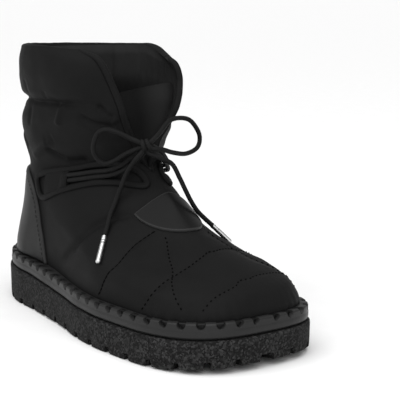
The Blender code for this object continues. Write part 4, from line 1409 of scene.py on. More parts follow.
@dataclass
class Tongue(Piece):
    """The padded tongue inside the flaps."""

    thick: float = 6.0
    edge: float = 1.2
    top_round: float = 12.0
    top_narrow: float = 0.30
    foot_taper: float = 20.0
    lean: tuple = (-0.92, 0.0, -0.39)
    # Where painted light pales the tongue's front: towards its medial side, and from low down upwards.
    painted_light_across: Ramp = Ramp(-0.1, 0.9)
    painted_light_up: Ramp = Ramp(104.0, 20.0)
    inner_sweep: float = 0.16
    form: Table = field(default_factory=lambda: Table("height middle lateral medial sweep", [
        (85.0, 31.6, 7.0, 6.5, 5.0),
        (92.0, 26.2, 8.0, 7.5, 6.5),
        (100.0, 19.4, 10.0, 9.5, 8.0),
        (108.0, 14.6, 14.0, 12.5, 12.0),
        (118.0, 11.4, 21.0, 16.5, 17.0),
        (130.0, 9.6, 28.5, 24.5, 20.0),
        (142.0, 7.0, 34.5, 31.0, 21.0),
        (152.0, 3.6, 37.5, 35.5, 21.0),
    ]))

    def build(self) -> None:
        """Model the tongue as a soft pad, and dress it."""
        noise = Noise(37)
        foot, top = self.form.keys[0], self.form.keys[-1]
        dome = top - self.top_round * np.cos(np.linspace(0, math.pi / 2, 14)[1:])
        height = np.concatenate([np.linspace(foot, top - self.top_round, 34), dome])
        across = np.sin(np.linspace(-1, 1, 41) * math.pi / 2)
        into = np.clip((height - top + self.top_round) / self.top_round, 0, 1)
        share = across[None, :] * np.sqrt(1 - self.top_narrow * into ** 2)[:, None]
        middle, lateral, medial, sweep = (self.form.read(name, height)[:, None] for name in (
            "middle", "lateral", "medial", "sweep"))
        half = np.where(share < 0, lateral, medial)
        x = middle - sweep * share ** 2 * np.where(share < 0, 1.0, self.inner_sweep)
        slope = into[:, None] * (6.0 * share - 3.0 * share ** 2)
        front = np.stack([x, self.last.centre(middle) + half * share, height[:, None] + slope], axis=-1)
        pad = (1 - across ** 6)[None, :] * np.sqrt(np.clip((height - foot) / self.foot_taper, 0, 1))[:, None]
        pad = pad * np.sqrt(1 - into ** 4 * 0.8)[:, None]
        thick = self.edge + (self.thick - self.edge) * pad
        ripple = 0.5 * noise.at(front, (14.0, 14.0, 9.0)) * pad
        back = front + np.array(self.lean) * thick[..., None]
        front = front + np.array(self.lean) * ripple[..., None]
        points = np.concatenate([front, back[:, ::-1]], axis=1)
        girth = share * lateral
        around = np.concatenate([girth, 2 * lateral + girth], axis=1)
        uv = np.stack([around, height[:, None] * np.ones_like(around)], axis=-1)
        # Painted light: the front face is paler towards the medial side and higher up, where light falls on
        # it.
        painted_light = self.painted_light_across.at(share) * self.painted_light_up.at(height)[:, None]
        marks = {"edge": np.concatenate([painted_light, np.zeros_like(painted_light)], axis=1)}
        grid = Grid(points, uv, wrap=True, marks=marks)
        self.make(grid, "tongue_pad", TONGUE_PAINTED_SHADE, "padded_nylon", "tongue", cap=True)


@dataclass
class Overlays(Piece):
    """What is sewn on the upper: heel counter, back strip, throat patch and the stitches that hold them."""

    counter: Table = field(default_factory=lambda: Table("height front", [
        (34.0, -52.0), (45.0, -55.0), (58.0, -58.5), (68.0, -60.5), (75.0, -62.5), (82.0, -65.5),
        (88.0, -70.5), (91.0, -75.0), (93.2, -80.4), (94.6, -86.6), (95.2, -93.0),
    ]))
    counter_thick: float = 1.5
    counter_knee: float = 84.0
    counter_stitch: Stitch = Stitch(2.3, 0.9, 0.55)
    stitch_inset: float = 2.6
    foot_blend: float = 20.0
    welt_height: float = 10.0
    strip_half: float = 11.0
    strip_foot: float = 96.8
    strip_thick: float = 1.1
    strip_stitch: Stitch = Stitch(2.2, 1.0, 0.5)
    strip_margin: int = 3
    cross_stitch: Stitch = Stitch(2.0, 0.9, 0.5)
    cross_levels: tuple = (99.4, 120.0, 141.5, 144.0, 174.0, 176.6)
    leaf: Leaf = Leaf()
    leaf_thick: float = 1.2
    edge_roll: float = 1.1
    backing: float = 0.5

    def build(self) -> None:
        """Model the overlays, and dress them."""
        threads = bmesh.new()
        self.build_counter(threads)
        self.build_strip(threads)
        self.build_patch()
        self.join(finished(threads, "overlay_stitches", THREAD.material()), "smooth_leather")

    def lay(self, name: str, finish: Finish, slot: str, node: str, turn: Array, height: Array, inside: Array,
            thick: float) -> Callable[[Array], Array]:
        """Lay an overlay on the upper, its edge rolled down to it.

        Args:
            name, finish, slot, node: what the piece is called, wears and stands for.
            turn, height: its places on the upper.
            inside: how far each place lies inside the piece's edge, in mm.
            thick: how thick the piece is.
        Returns:
            A function from how far places lie inside the edge to the piece's lift there.
        """
        def lift_of(depth: Array) -> Array:
            """The piece's lift some way inside its edge."""
            rolled = np.clip(1 - (1 - np.clip(depth / self.edge_roll, 0, 1)) ** 2, 0, 1)
            return 0.1 + (thick + self.backing) * np.sqrt(rolled)

        points = self.last.outside(turn, height, lift_of(inside))
        marks = {"edge": 1 - smoothstep((inside - 0.7) / 0.5)}
        grid = Grid(points, self.surface_uv(turn, height), marks=marks)
        self.make(grid, name, finish, slot, node, thick=self.backing)
        return lift_of

    def build_counter(self, threads: Form) -> None:
        """The smooth panel round the heel, with a stitch row inside its edge."""
        last, keys = self.last, self.counter.keys
        upper_rows = np.interp(np.linspace(0, 1, 26) ** 0.8, (0, 1), (self.counter_knee + 0.6, keys[-1]))
        rows = np.concatenate([np.linspace(keys[0], self.counter_knee, 44), upper_rows])
        edge = last.turn_at(self.counter.read("front", rows), rows)
        bend = np.linspace(-1, 1, 150)
        share = 0.5 + 0.5 * np.sign(bend) * (1 - (1 - np.abs(bend)) ** 1.6)
        turn = edge[:, None] + (1 - 2 * edge[:, None]) * share[None, :]
        height = rows[:, None] * np.ones_like(turn)
        foot = last.base(turn[0], height[0])[:, 0]
        start = last.height_of(foot, last.sole_top(foot) + self.welt_height + last.gap)
        blend = np.clip(1 - (rows - keys[0]) / self.foot_blend, 0, 1)
        height = height + (start - keys[0])[None, :] * blend[:, None]
        flat = last.outside(turn, height)
        border = smooth_route(np.concatenate([flat[:, 0], flat[-1, 1:-1], flat[::-1, -1]]), 0.7)
        inside = nearest(flat, border)[0]
        lift_of = self.lay("counter_panel", LEATHER, "smooth_leather", "heel_counter", turn, height, inside,
                           self.counter_thick)
        path = self.inset_route(turn, height, inside, self.stitch_inset)
        lift = lift_of(np.full(len(path), self.stitch_inset))
        route = smooth_route(last.outside(path[:, 0], path[:, 1], lift), 0.8)
        path = places_at(np.linspace(0, 1, len(route)), np.linspace(0, 1, len(path)), path)
        self.counter_stitch.sew(threads, route, last.normal(path[:, 0], path[:, 1]))

    @staticmethod
    def inset_route(turn: Array, height: Array, inside: Array, inset: float) -> Array:
        """Trace where a sheet lies inset inside its edge, up one side, over the top and down the other.

        Args:
            turn, height: the sheet's places on the upper.
            inside: how far each lies inside its edge.
            inset: how far inside the trace runs.
        Returns:
            The trace's turns and heights, one pair to a row.
        """
        middle = turn.shape[1] // 2
        left, right, top = [], [], []
        top_row = int(np.argmin(np.abs(inside[:, middle] - inset) + 100.0 * (height[:, middle] < 80)))
        for row in range(1, top_row):
            for found, columns in ((left, range(middle)), (right, range(turn.shape[1] - 1, middle, -1))):
                column = next((c for c in columns if inside[row, c] >= inset), None)
                if column is not None:
                    found.append((turn[row, column], height[row, column]))
        for column in range(turn.shape[1]):
            if left[-1][0] < turn[top_row, column] < right[-1][0]:
                top.append((turn[top_row, column], height[top_row, column]))
        return np.array(left + top[4:-4:4] + right[::-1])

    def side_turn(self, offset: Array, height: Array) -> Array:
        """The turn near the heel at which the lateral side lies offset from the centre line."""
        def further(turn: Array) -> Array:
            """Whether a turn lies further out than that."""
            place = self.last.base(turn, height)
            return np.abs(place[..., 1] - self.last.centre(place[..., 0])) > offset

        return bisected(np.full_like(offset, 0.4), np.full_like(offset, 0.5), further)[1]

    def build_strip(self, threads: Form) -> None:
        """The fabric strip up the back, sewn along both edges and across."""
        last = self.last
        rows = np.linspace(self.strip_foot, last.rim - 0.4, 90)
        across = np.sin(np.linspace(-1, 1, 31) * math.pi / 2)
        height = rows[:, None] * np.ones((1, len(across)))
        offset = self.strip_half * np.abs(across)[None, :] * np.ones_like(height)
        lateral = self.side_turn(offset, height)
        turn = np.where(across[None, :] < 0, lateral, 1 - lateral)
        inside = np.minimum(self.strip_half * (1 - np.abs(across))[None, :], (rows - rows[0])[:, None])
        inside = np.minimum(inside, (rows[-1] - rows)[:, None])
        lift_of = self.lay("back_webbing", WEBBING, "webbing", "back_strip", turn, height, inside,
                           self.strip_thick)
        margin, every = self.strip_margin, slice(None)
        seams = [(self.strip_stitch, (every, column)) for column in (margin, -margin - 1)]
        for level in self.cross_levels:
            row = int(np.argmin(np.abs(rows - level)))
            seams.append((self.cross_stitch, (row, slice(margin, -margin))))
        for stitch, part in seams:
            route = last.outside(turn[part], height[part], lift_of(inside[part]))
            stitch.sew(threads, route, last.normal(turn[part], height[part]))

    def build_patch(self) -> None:
        """The leather leaf on the instep, cut from the vamp's own face."""
        last = self.last
        across = np.sin(np.linspace(-1, 1, 61) * math.pi / 2)
        back, front = self.leaf.ends(across)
        share = (0.5 - 0.5 * np.cos(np.linspace(0, math.pi, 46)))[:, None]
        x = back[None, :] + (front - back)[None, :] * share
        y = last.centre(x) + self.leaf.half * across[None, :] * np.ones_like(x)
        height = last.crown_height(x, y)
        side = last.turn_at(x, height)
        turn = np.where(across[None, :] < 0, side, 1 - side)
        flat = last.outside(turn, height)
        border = np.concatenate([flat[0], flat[1:, -1], flat[-1, ::-1], flat[::-1, 0]])
        inside = nearest(flat, border)[0]
        self.lay("instep_patch", PATCH, "smooth_leather", "throat_patch", turn, height, inside,
                 self.leaf_thick)


@dataclass
class Ankle(Piece):
    """On each side the piped loop round the ankle, the tab inside it and the flap's bound edge."""

    side: Side
    route: tuple = (
        (0.293, 94.1), (0.247, 97.6), (0.200, 100.5), (0.167, 103.0), (0.134, 104.0), (0.102, 103.4),
        (0.070, 101.2), (0.056, 96.6), (0.067, 92.7), (0.114, 93.6), (0.143, 93.6), (0.174, 92.6),
        (0.199, 90.7), (0.226, 88.0), (0.254, 84.8), (0.281, 80.6), (0.300, 78.0), (0.312, 80.6),
        (0.312, 90.0),
    )
    upper_rail: tuple[int, int] = (0, 5)
    lower_rail: tuple[int, int] = (11, 17)
    tab_gap: float = 1.2
    turn_scale: float = 1000.0
    band_width: float = 4.4
    band_thick: float = 3.0
    band_lift: float = 0.9
    tab_back: float = -50.0
    tab_front: float = -25.6
    tab_thick: float = 1.8
    tab_roll: float = 1.2
    tab_bulge: float = 1.9
    tab_rows: int = 30
    tab_columns: int = 40
    bulge_ramp: Ramp = Ramp(-34.6, 6.0)
    tack_rows: tuple = (3, 26)
    tack_columns: tuple = (34, 35, 36, 37, 38)
    binding_foot: float = 100.4
    binding_width: dict = field(default_factory=lambda: {Side.LATERAL: 4.0, Side.MEDIAL: 3.2})
    binding_thick: float = 4.2
    binding_reach: float = 1.3
    binding_top: Ramp = Ramp(171.0, 8.0)
    binding_low: Ramp = Ramp(108.0, -7.0)

    def build(self) -> None:
        """Model the band, the tab and the binding, and dress them."""
        self.build_band()
        self.build_tab()
        self.build_binding()

    def build_band(self) -> None:
        """The closed loop of piping laid on the boot."""
        scale = (self.turn_scale, 1.0)
        route = smooth_route(np.array(self.route) * scale, 3.0, closed=True) / scale
        turn, height = self.side.turn(route[:, 0]), route[:, 1]
        centres = self.last.outside(turn, height, self.band_lift)
        grid = bar_grid(centres, self.last.normal(turn, height), self.band_width, self.band_thick, True)
        side = self.side.value
        self.make(grid, "ankle_piping_" + side, PIPING, "padded_nylon", "ankle_band_" + side)

    def rail_height(self, x: Array, rows: tuple[int, int]) -> Array:
        """The height at x of one rail of the band, made of those rows of its route."""
        route = np.array(self.route[slice(*rows)])
        at = self.last.base(route[:, 0], route[:, 1])[:, 0]
        order = np.argsort(at)
        return np.interp(x, at[order], route[order, 1])

    def build_tab(self) -> None:
        """The fabric tab between the rails, tacked at its two front corners."""
        last = self.last
        x = np.linspace(self.tab_back, self.tab_front, self.tab_columns)[None, :]
        low = self.rail_height(x, self.lower_rail) + self.tab_gap
        high = self.rail_height(x, self.upper_rail) - self.tab_gap
        height = low + (high - low) * np.linspace(0, 1, self.tab_rows)[:, None]
        turn = self.side.turn(last.turn_at(x * np.ones_like(height), height))
        inside = np.minimum(x - self.tab_back, self.tab_front - x)
        lift = 0.1 + self.tab_thick * np.sqrt(1 - (1 - np.clip(inside / self.tab_roll, 0, 1)) ** 2)
        across = np.linspace(-1, 1, self.tab_rows)[:, None]
        over_lace = self.bulge_ramp.at(x) * (1 - across ** 4) * np.clip(inside / 0.4, 0, 1)
        points = last.outside(turn, height, lift + self.tab_bulge * over_lace)
        grid = Grid(points, self.surface_uv(turn, height))
        side = self.side.value
        self.make(grid, "lace_tab_cloth_" + side, WEBBING, "webbing", "lace_tab_" + side, thick=0.5)
        tacks = bmesh.new()
        for row in self.tack_rows:
            for column in self.tack_columns:
                part = (slice(row - 2, row + 3), column)
                long = float(np.linalg.norm(points[row + 2, column] - points[row - 2, column]))
                Stitch(0.4 * long, 0.1, 0.6).sew(tacks, points[part], last.normal(turn[part], height[part]))
        self.join(finished(tacks, "lace_tab_tacks_" + side, DARK_THREAD.material()), "webbing")

    def build_binding(self) -> None:
        """The bound edge of the flap, from the throat to the collar."""
        last = self.last
        height = np.linspace(self.binding_foot, last.rim - 1.4, 96)
        turn = self.side.turn(last.throat_turn(height, self.side))
        normal = last.normal(turn, height)
        edge = last.base(turn, height) - normal * (last.wall - 1.0) / 2
        forward = unit(np.cross(np.gradient(edge, axis=0), normal)) * (1 if self.side is Side.LATERAL else -1)
        top, foot = self.binding_top.at(height), self.binding_low.at(height)
        centres = edge + forward * (self.binding_reach * (1 - 1.4 * top - foot))[:, None]
        centres = centres - normal * (3.0 * foot)[:, None]
        grid = bar_grid(centres, normal, self.binding_width[self.side], self.binding_thick, False,
                        1 - 0.45 * top - 0.4 * foot)
        side = self.side.value
        self.make(grid, "flap_edge_" + side, PIPING, "webbing", "flap_binding_" + side, cap=True)


@dataclass
class Sole(Piece):
    """The outsole with its lugs, the welt with its pockets, and the foot bed."""

    tread: float = 4.2
    lugs: int = 34
    lug: tuple = ((0.03, 0), (0.1, 0), (0.13, 1), (0.25, 1), (0.375, 1), (0.5, 1), (0.625, 1), (0.75, 1),
                  (0.87, 1), (0.9, 0), (0.97, 0))
    ground_rows: tuple = ((40.0, 4.2), (17.6, 4.2), (17.0, 0.0), (9.0, 0.0), (1.4, 0.0), (0.5, 0.6),
                          (0.35, 2.0), (0.2, 6.0))
    top_rows: tuple = ((0.1, -6.0), (0.0, -2.0), (0.15, -0.8), (0.9, 0.0), (12.0, 0.0))
    spine_inset: float = 30.0
    spine_share: tuple = (0.9, 0.12)
    bars: tuple = ((-96, 7, 0), (-72, 7, 0), (-40, 6, 6), (-14, 6, 6), (14, 7, 6), (38, 7, 6), (62, 7, 6),
                   (86, 7, 4))
    bar_margin: float = 26.0
    bar_sink: float = 0.8
    bar_bevel: float = 0.6
    welt_height: float = 10.0
    pockets: int = 54
    pocket_depth: float = 2.6
    pocket_height: float = 3.7
    pocket_half: float = 0.245
    pocket_rim: float = 0.22
    pocket_dip: float = 0.3
    pocket_wall: float = 0.9
    shade_ramp: Ramp = Ramp(0.25, 0.6)
    bed: tuple = ((1.0, 0.3), (1.0, 3.4), (0.985, 4.0), (0.96, 4.3), (0.85, 4.2), (0.6, 4.0), (0.3, 3.8),
                  (0.02, 3.8))
    bed_margin: float = 1.4
    bed_spine: float = 0.84

    def build(self) -> None:
        """Model the sole's pieces, and dress them."""
        self.build_outsole()
        self.build_bars()
        self.build_welt()
        self.build_bed()

    def pitch_turns(self, count: int, shares: Array) -> tuple[Array, Array]:
        """Lay turns at the same shares of each of some even pitches.

        Args:
            count: how many pitches go round the sole.
            shares: the shares of a pitch.
        Returns:
            The turns, and their shares.
        """
        marks = self.last.even_turns(count)
        turns = marks[:-1, None] + np.diff(marks)[:, None] * shares[None, :]
        return turns.ravel(), np.tile(shares, count)

    def build_outsole(self) -> None:
        """The crumb-rubber unit: its side wall runs down into lugs, with grooves between them."""
        last = self.last
        shares, lug = np.array(self.lug, float).T
        turns, _ = self.pitch_turns(self.lugs, shares)
        groove = 1 - np.tile(lug, self.lugs)
        points = []
        for level_of, rows, cut in ((last.ground, self.ground_rows, groove),
                                    (last.sole_top, self.top_rows, np.zeros_like(groove))):
            for inset, rise in rows:
                plan = last.sole_edge(turns, inset)
                if inset > self.spine_inset:
                    plan = plan * self.spine_share
                level = level_of(plan[:, 0]) + rise + max(self.tread - rise, 0.0) * cut
                points.append(self.raised(plan, level))
        grid = Grid(np.array(points), wrap=True)
        self.make(grid, "outsole_unit", CRUMB, "crumb_rubber", "outsole", cap=True)

    def build_bars(self) -> None:
        """The bars across the middle of the tread, with softened edges."""
        last = self.last
        form = bmesh.new()
        for middle, half, skew in self.bars:
            reach = float(last.sole.read("medial", middle / last.length + 0.5)) - self.bar_margin
            side = float(last.centre(middle))
            plan = np.array([(middle - half - skew, side - reach), (middle + half - skew, side - reach),
                             (middle + half + skew, side), (middle + half - skew, side + reach),
                             (middle - half - skew, side + reach), (middle - half + skew, side)], float)
            low = [form.verts.new(Vector((x, y, float(last.ground(x)))) * MM) for x, y in plan]
            face = form.faces.new(low)
            grown = bmesh.ops.extrude_face_region(form, geom=[face])
            for vert in grown["geom"]:
                if isinstance(vert, bmesh.types.BMVert):
                    vert.co.z = float(last.ground(vert.co.x / MM) + self.tread + self.bar_sink) * MM
        bmesh.ops.recalc_face_normals(form, faces=form.faces)
        bmesh.ops.bevel(form, geom=list(form.edges), offset=self.bar_bevel * MM, segments=2, profile=0.5,
                        affect="EDGES", material=-1)
        self.join(finished(form, "tread_bars", CRUMB.material()), "crumb_rubber", "outsole")

    def build_welt(self) -> None:
        """The moulded strip round the upper, with half-round pockets in its top edge."""
        last = self.last
        fine = np.concatenate([(0.0, 0.1, 0.2), np.linspace(0.26, 0.74, 25), (0.8, 0.9)])
        turns, phase = self.pitch_turns(self.pockets, fine)
        wall = self.welt_inside(np.linspace(0, 1, 1441))[:, :2]
        edge = last.sole_edge(turns, 2.5)
        room = nearest(self.raised(edge, 0.0), self.raised(wall, 0.0))[0] - self.pocket_wall
        depth = np.clip(room, 0.0, self.pocket_depth)
        rows = [(6.0, 0.3), (2.8, 0.3), (2.4, 0.8), (1.5, 1.4)]
        rows += [(1.3 - 0.25 * math.sin(math.pi * rise / self.welt_height), rise) for rise in (2.2, 3.6, 5.0)]
        rows += [(1.3, rise) for rise in np.linspace(5.6, 8.8, 17)]
        rows += [(1.5, 9.3), (1.9, 9.7), (2.6, 10.0)]
        across = ((phase - 0.5) / self.pocket_half) ** 2
        points, painted_shade = [], []
        for inset, rise in rows:
            into = across + ((self.welt_height - rise) / self.pocket_height) ** 2
            share = smoothstep((1 - into) / self.pocket_rim)
            # Painted shade: each pocket is darker towards its inside, as the shade in it.
            painted_shade.append(self.shade_ramp.at(share))
            plan = last.sole_edge(turns, inset + depth * share)
            points.append(self.raised(plan, last.sole_top(plan[:, 0]) + rise))
        points[-1][:, 2] -= self.pocket_dip * smoothstep((1 - across) / self.pocket_rim)
        inside = self.welt_inside(turns)[:, :2]
        for rise in (9.8, 4.0):
            points.append(self.raised(inside, last.sole_top(inside[:, 0]) + rise))
            painted_shade.append(np.zeros(len(turns)))
        grid = Grid(np.array(points), wrap=True, marks={"painted_shade": np.array(painted_shade)})
        self.make(grid, "welt_strip", WELT, "moulded_welt", "welt")

    @staticmethod
    def raised(plan: Array, z: Array | float) -> Array:
        """Points of a plan at some heights."""
        return np.concatenate([plan, np.broadcast_to(z, len(plan))[:, None]], axis=1)

    def welt_inside(self, turns: Array) -> Array:
        """The welt's inner edge, against the upper."""
        plan = self.last.sole_edge(turns)
        brim = self.last.height_of(plan[:, 0], self.last.sole_top(plan[:, 0]) + self.welt_height)
        return self.last.outside(turns, brim, 0.1)

    def build_bed(self) -> None:
        """The foot bed inside the upper, dished at the heel."""
        last = self.last
        turns = np.linspace(0, 1, 120, endpoint=False)
        plan = last.outside(turns, last.foot + 1.0, -(last.wall + last.gap + self.bed_margin))[:, :2]
        x = plan[:, 0] * self.bed_spine
        spine = np.stack([x, last.centre(x)], axis=-1)
        points = []
        for share, level in self.bed:
            ring = spine + (plan - spine) * share
            points.append(self.raised(ring, last.sole_top(ring[:, 0]) + level))
        grid = Grid(np.array(points), wrap=True)
        self.make(grid, "foot_bed_pad", FELT, "foot_bed", "insole", cap=True)


@dataclass
class Lace(Piece):
    """The lace: two strands from each tab to the knot, the bow's loops and its ends with their tips."""

    diameter: float = 3.0
    knot: tuple = (30.8, -11.5, 118.8)
    knot_depth: float = 0.35
    strand_gap: float = 1.65
    bars: dict = field(default_factory=lambda: {
        "lace_bar_lateral": (
            (-24.4, -35.3, 94.4), (-12.3, -31.6, 96.7), (-4.0, -27.4, 98.4), (6.2, -23.4, 100.2),
            (14.6, -20.0, 103.4), (21.0, -15.8, 108.4), (25.4, -12.6, 113.0), (27.8, -11.9, 115.3)),
        "lace_bar_medial": (
            (-24.4, 29.4, 94.4), (-12.3, 28.0, 96.7), (-4.0, 25.4, 98.4), (5.4, 21.4, 100.2),
            (12.6, 16.6, 103.0), (18.4, 11.0, 107.0), (24.0, 3.6, 112.2), (28.0, -3.4, 115.8),
            (30.2, -7.4, 117.8)),
    })
    loops: dict = field(default_factory=lambda: {
        "lace_loop_lateral": (
            (29.0, -15.3, 121.2), (25.0, -19.6, 123.6), (20.4, -26.0, 127.4), (14.7, -30.8, 128.8),
            (10.0, -34.2, 125.6), (7.6, -35.6, 117.2), (7.4, -33.2, 110.6), (10.2, -29.4, 107.0),
            (15.0, -25.6, 108.6), (22.4, -20.8, 113.8), (27.9, -15.5, 117.2)),
        "lace_loop_medial": (
            (33.0, -8.2, 122.1), (30.8, -2.0, 125.6), (26.6, 10.0, 133.4), (25.0, 24.0, 133.0),
            (24.0, 32.2, 125.6), (23.0, 34.8, 118.8), (24.6, 31.0, 113.6), (26.8, 21.0, 111.2),
            (31.4, 8.0, 113.4), (34.6, -1.6, 116.2), (34.6, -8.3, 117.0)),
    })
    ends: dict = field(default_factory=lambda: {
        "lace_end_lateral": (
            (31.2, -14.4, 115.4), (28.8, -18.6, 109.8), (22.4, -20.8, 101.0), (20.0, -23.0, 92.9),
            (18.4, -24.8, 87.1), (18.1, -27.2, 81.4), (18.6, -30.4, 75.7), (20.6, -33.6, 69.5),
            (23.4, -37.4, 64.2)),
        "lace_end_medial": (
            (33.0, -10.8, 114.4), (36.6, -4.4, 111.2), (39.0, 2.6, 107.2), (42.0, 6.0, 98.8),
            (44.4, 8.8, 91.0), (45.4, 12.2, 84.0), (44.4, 17.6, 77.2), (43.2, 24.0, 71.6),
            (42.4, 30.0, 66.8)),
    })
    tips: dict = field(default_factory=lambda: {
        "aglet_lateral": ((23.9, -38.0, 63.6), (36.4, -50.2, 51.0)),
        "aglet_medial": ((42.3, 30.7, 66.2), (40.8, 46.4, 53.0)),
    })
    spacing: float = 1.5
    cord_sides: int = 14
    under_tab: tuple = ((-33.0, 92.6, -0.6), (-28.6, 93.6, 0.4))
    drawn_in: float = 0.35
    drawn_ramp: Ramp = Ramp(0.8, 0.2)
    strand_centre: tuple = (20.0, 4.0)
    tip_radius: float = 1.65
    tip_mouth: float = 1.35
    tip_end: tuple = (1.6, 1.4, 1.1, 0.7)
    crimps: tuple = (0.16, 0.24)
    crimp_depth: float = 0.28
    crimp_width: float = 0.022
    knot_axis: tuple = (4.0, 7.1, 0.9)
    knot_wraps: tuple = ((-1.5, 0.6, 2.9), (1.5, 0.9, 3.0))
    knot_core: float = 3.2

    def build(self) -> None:
        """Model the lace's stretches, knot and tips, and log each cord's length."""
        for node, points in self.bars.items():
            for sign, label in ((1.0, "upper"), (-1.0, "lower")):
                route = self.strand(smooth_route(self.from_tab(points), self.spacing), sign)
                self.cord(f"{node}_{label}", route, node, "knot", "taut")
        knot = self.build_knot()
        for node, points in self.loops.items():
            route = (self.into_knot(points[0]), *points, self.into_knot(points[-1]))
            self.cord(node + "_cord", smooth_route(route, self.spacing), node, "knot", "loose", knot)
            knot = ()
        tips = {node: self.tip(node, *ends) for node, ends in self.tips.items()}
        for node, points in self.ends.items():
            aglet = tips[node.replace("lace_end", "aglet")]
            route = (self.into_knot(points[0]), *points)
            self.cord(node + "_cord", smooth_route(route, self.spacing), node, "fitting", "hanging", (aglet,))

    def from_tab(self, points: tuple) -> Array:
        """A bar's points, started under the tab that the lace comes out of."""
        x, height, lift = np.array(self.under_tab).T
        side = Side.LATERAL if points[0][1] < 0 else Side.MEDIAL
        start = self.last.outside(side.turn(self.last.turn_at(x, height)), height, lift)
        return np.concatenate([start, points, [self.into_knot(points[-1])]])

    def into_knot(self, point: tuple) -> tuple:
        """Where a stretch that reaches a point by the knot goes on to inside it."""
        return tuple(middle + self.knot_depth * (here - middle) for middle, here in zip(self.knot, point))

    def strand(self, route: Array, sign: float) -> Array:
        """Lay one of two strands that run side by side, drawn together at the knot.

        Args:
            route: the line between them.
            sign: 1 for the upper strand, -1 for the lower.
        Returns:
            The strand's points.
        """
        run = np.linspace(0, 1, len(route))
        back, below = self.strand_centre
        x, z = route[:, 0], route[:, 2]
        outward = unit(route - np.stack([x - back, self.last.centre(x), z - below], axis=-1))
        up = unit(np.cross(unit(np.gradient(route, axis=0)), outward))
        up = up * np.sign(up[:, 2:3])
        reach = sign * self.strand_gap * (1 - self.drawn_in * self.drawn_ramp.at(run))
        return route + up * reach[:, None]

    def cord(self, name: str, route: Array, node: str, far_end: str, lay: str,
             with_pieces: tuple[Object, ...] = ()) -> None:
        """Args:
            name, node: what the piece is called and stands for.
            route: its middle line.
            far_end, lay: what its far end is on, and how it lies; not used.
            with_pieces: the pieces that go with it.
        """
        grid = tube_grid(route, self.diameter / 2, self.cord_sides)
        piece = self.make(grid, name, CORD, "lace_cord", node, cap=True)
        length = float(run_along(route)[-1]) * MM
        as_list(with_pieces)
        LOG.info("%s: %.1f mm", name, length / MM)

    def tip(self, node: str, start: tuple, stop: tuple) -> Object:
        """One metal tip, rolled from sheet, with two crimped rings.

        Args:
            node: what it stands for.
            start, stop: its two ends.
        Returns:
            The piece.
        """
        start, stop = np.array(start), np.array(stop)
        share = np.concatenate([[0, 0.006], np.linspace(0.03, 0.95, 40), [0.97, 0.985, 0.995, 1.0]])
        radius = np.full(len(share), self.tip_radius)
        for crimp in self.crimps:
            radius = radius - self.crimp_depth * bell(share - crimp, self.crimp_width)
        radius[0] = self.tip_mouth
        radius[-len(self.tip_end):] = self.tip_end
        grid = tube_grid(start + (stop - start) * share[:, None], radius, 24)
        return self.make(grid, node + "_tip", METAL, "aglet_metal", node, cap=True)

    def build_knot(self) -> tuple[Object, ...]:
        """The knot: the lace wrapped twice round the crossing of the loops. Returns: its pieces."""
        middle = np.array(self.knot)
        axis = unit(np.array(self.knot_axis))
        first = unit(np.cross(axis, (0.0, 0.0, 1.0)))
        second = np.cross(axis, first)
        angle = np.linspace(0, 2 * math.pi, 40, endpoint=False)[:, None]
        pieces = []
        for number, (shift, tilt, radius) in enumerate(self.knot_wraps):
            ring = middle + axis * (shift + tilt * np.sin(angle))
            ring = ring + radius * (first * np.cos(angle) + second * np.sin(angle))
            grid = tube_grid(ring, self.diameter / 2, self.cord_sides, closed=True)
            pieces.append(self.make(grid, f"lace_knot_wrap_{number}", CORD, "lace_cord", "lace_knot"))
        core = bmesh.new()
        bmesh.ops.create_uvsphere(core, u_segments=24, v_segments=16, radius=self.knot_core * MM,
                                  matrix=Matrix.Translation(Vector(middle) * MM))
        pieces.append(self.join(finished(core, "lace_knot_core", CORD.material()), "lace_cord", "lace_knot"))
        return tuple(pieces)


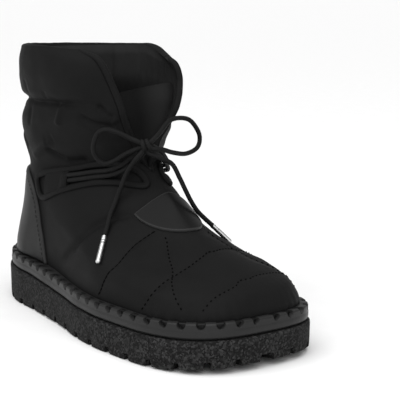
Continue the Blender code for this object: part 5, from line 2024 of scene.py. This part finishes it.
@dataclass
class Studio:
    """The camera at the photograph's angle, the pale floor and the soft light."""

    last: Last
    azimuth: float = 54.68
    elevation: float = 9.52
    distance: float = 700.44
    target: tuple = (77.03, 0.0, 90.45)
    lens: float = 105.99
    sensor: float = 36.0
    floor_size: float = 60.0
    floor_steps: int = 24
    flat_reach: float = 10.0
    far_rise: float = 0.025
    room_light: float = 0.42
    ceiling_light: float = 2.3
    ceiling_spread: float = 75.0
    ceiling_tilt: tuple = (18.0, 8.0, 0.0)
    aim: tuple = (0.0, 0.0, 0.08)
    boxes: tuple = (
        ("front_box", (1.10, -0.35, 0.75), 0.9, 5.0),
        ("side_box", (-0.45, -1.20, 0.80), 1.0, 3.0),
    )

    def build(self) -> None:
        """Set up the camera, floor, lights and world."""
        self.build_camera()
        self.build_floor()
        self.build_lights()

    def build_camera(self) -> None:
        """Aim the camera at the boot."""
        azimuth, elevation = math.radians(self.azimuth), math.radians(self.elevation)
        back = Vector((math.sin(azimuth) * math.cos(elevation), -math.cos(azimuth) * math.cos(elevation),
                       math.sin(elevation)))
        target = Vector(self.target) + Vector((0.0, self.last.side_shift(), 0.0))
        camera = bpy.data.cameras.new("photo_camera")
        camera.lens = self.lens
        camera.sensor_width = self.sensor
        made = bpy.data.objects.new("photo_camera", camera)
        made.location = (target + back * self.distance) * MM
        made.rotation_euler = (-back).to_track_quat("-Z", "Y").to_euler()
        bpy.context.scene.collection.objects.link(made)
        bpy.context.scene.camera = made

    def build_floor(self) -> None:
        """Lay a plain pale floor under the boot, which rises gently far off so that no horizon shows."""
        form = bmesh.new()
        steps = self.floor_steps
        bmesh.ops.create_grid(form, x_segments=steps, y_segments=steps, size=self.floor_size)
        for vert in form.verts:
            vert.co.z = self.far_rise * max(0.0, vert.co.xy.length - self.flat_reach)
        floor = finished(form, "floor", FLOOR.material())

    def build_lights(self) -> None:
        """Hang soft boxes over and beside the boot, in a white room."""
        bpy.context.scene.view_settings.view_transform = "Standard"
        world = bpy.data.worlds.new("white_room")
        world.use_nodes = True
        background = world.node_tree.nodes["Background"]
        background.inputs["Color"].default_value = (1.0, 1.0, 1.0, 1.0)
        background.inputs["Strength"].default_value = self.room_light
        bpy.context.scene.world = world
        sun = bpy.data.lights.new("ceiling", "SUN")
        sun.energy = self.ceiling_light
        sun.angle = math.radians(self.ceiling_spread)
        ceiling = bpy.data.objects.new("ceiling", sun)
        ceiling.rotation_euler = [math.radians(angle) for angle in self.ceiling_tilt]
        bpy.context.scene.collection.objects.link(ceiling)
        for name, place, size, power in self.boxes:
            light = bpy.data.lights.new(name, "AREA")
            light.size = size
            light.energy = power
            made = bpy.data.objects.new(name, light)
            made.location = place
            made.rotation_euler = (Vector(place) - Vector(self.aim)).to_track_quat("Z", "Y").to_euler()
            bpy.context.scene.collection.objects.link(made)


def main() -> None:
    """Build the boot's sub-assemblies in order, and report their pieces."""
    logging.basicConfig(level=logging.INFO, format="%(name)s: %(message)s")
    last = Last()
    Studio(last).build()
    vamp = Vamp(last)
    parts = [Lace(last), vamp, Shaft(last, vamp), Tongue(last), Overlays(last), Ankle(last, Side.LATERAL),
             Ankle(last, Side.MEDIAL), Sole(last)]
    for part in parts:
        part.build()
        LOG.info("%s: %s", type(part).__name__, ", ".join(piece.name for piece in part.made))


if __name__ == "__main__":
    main()
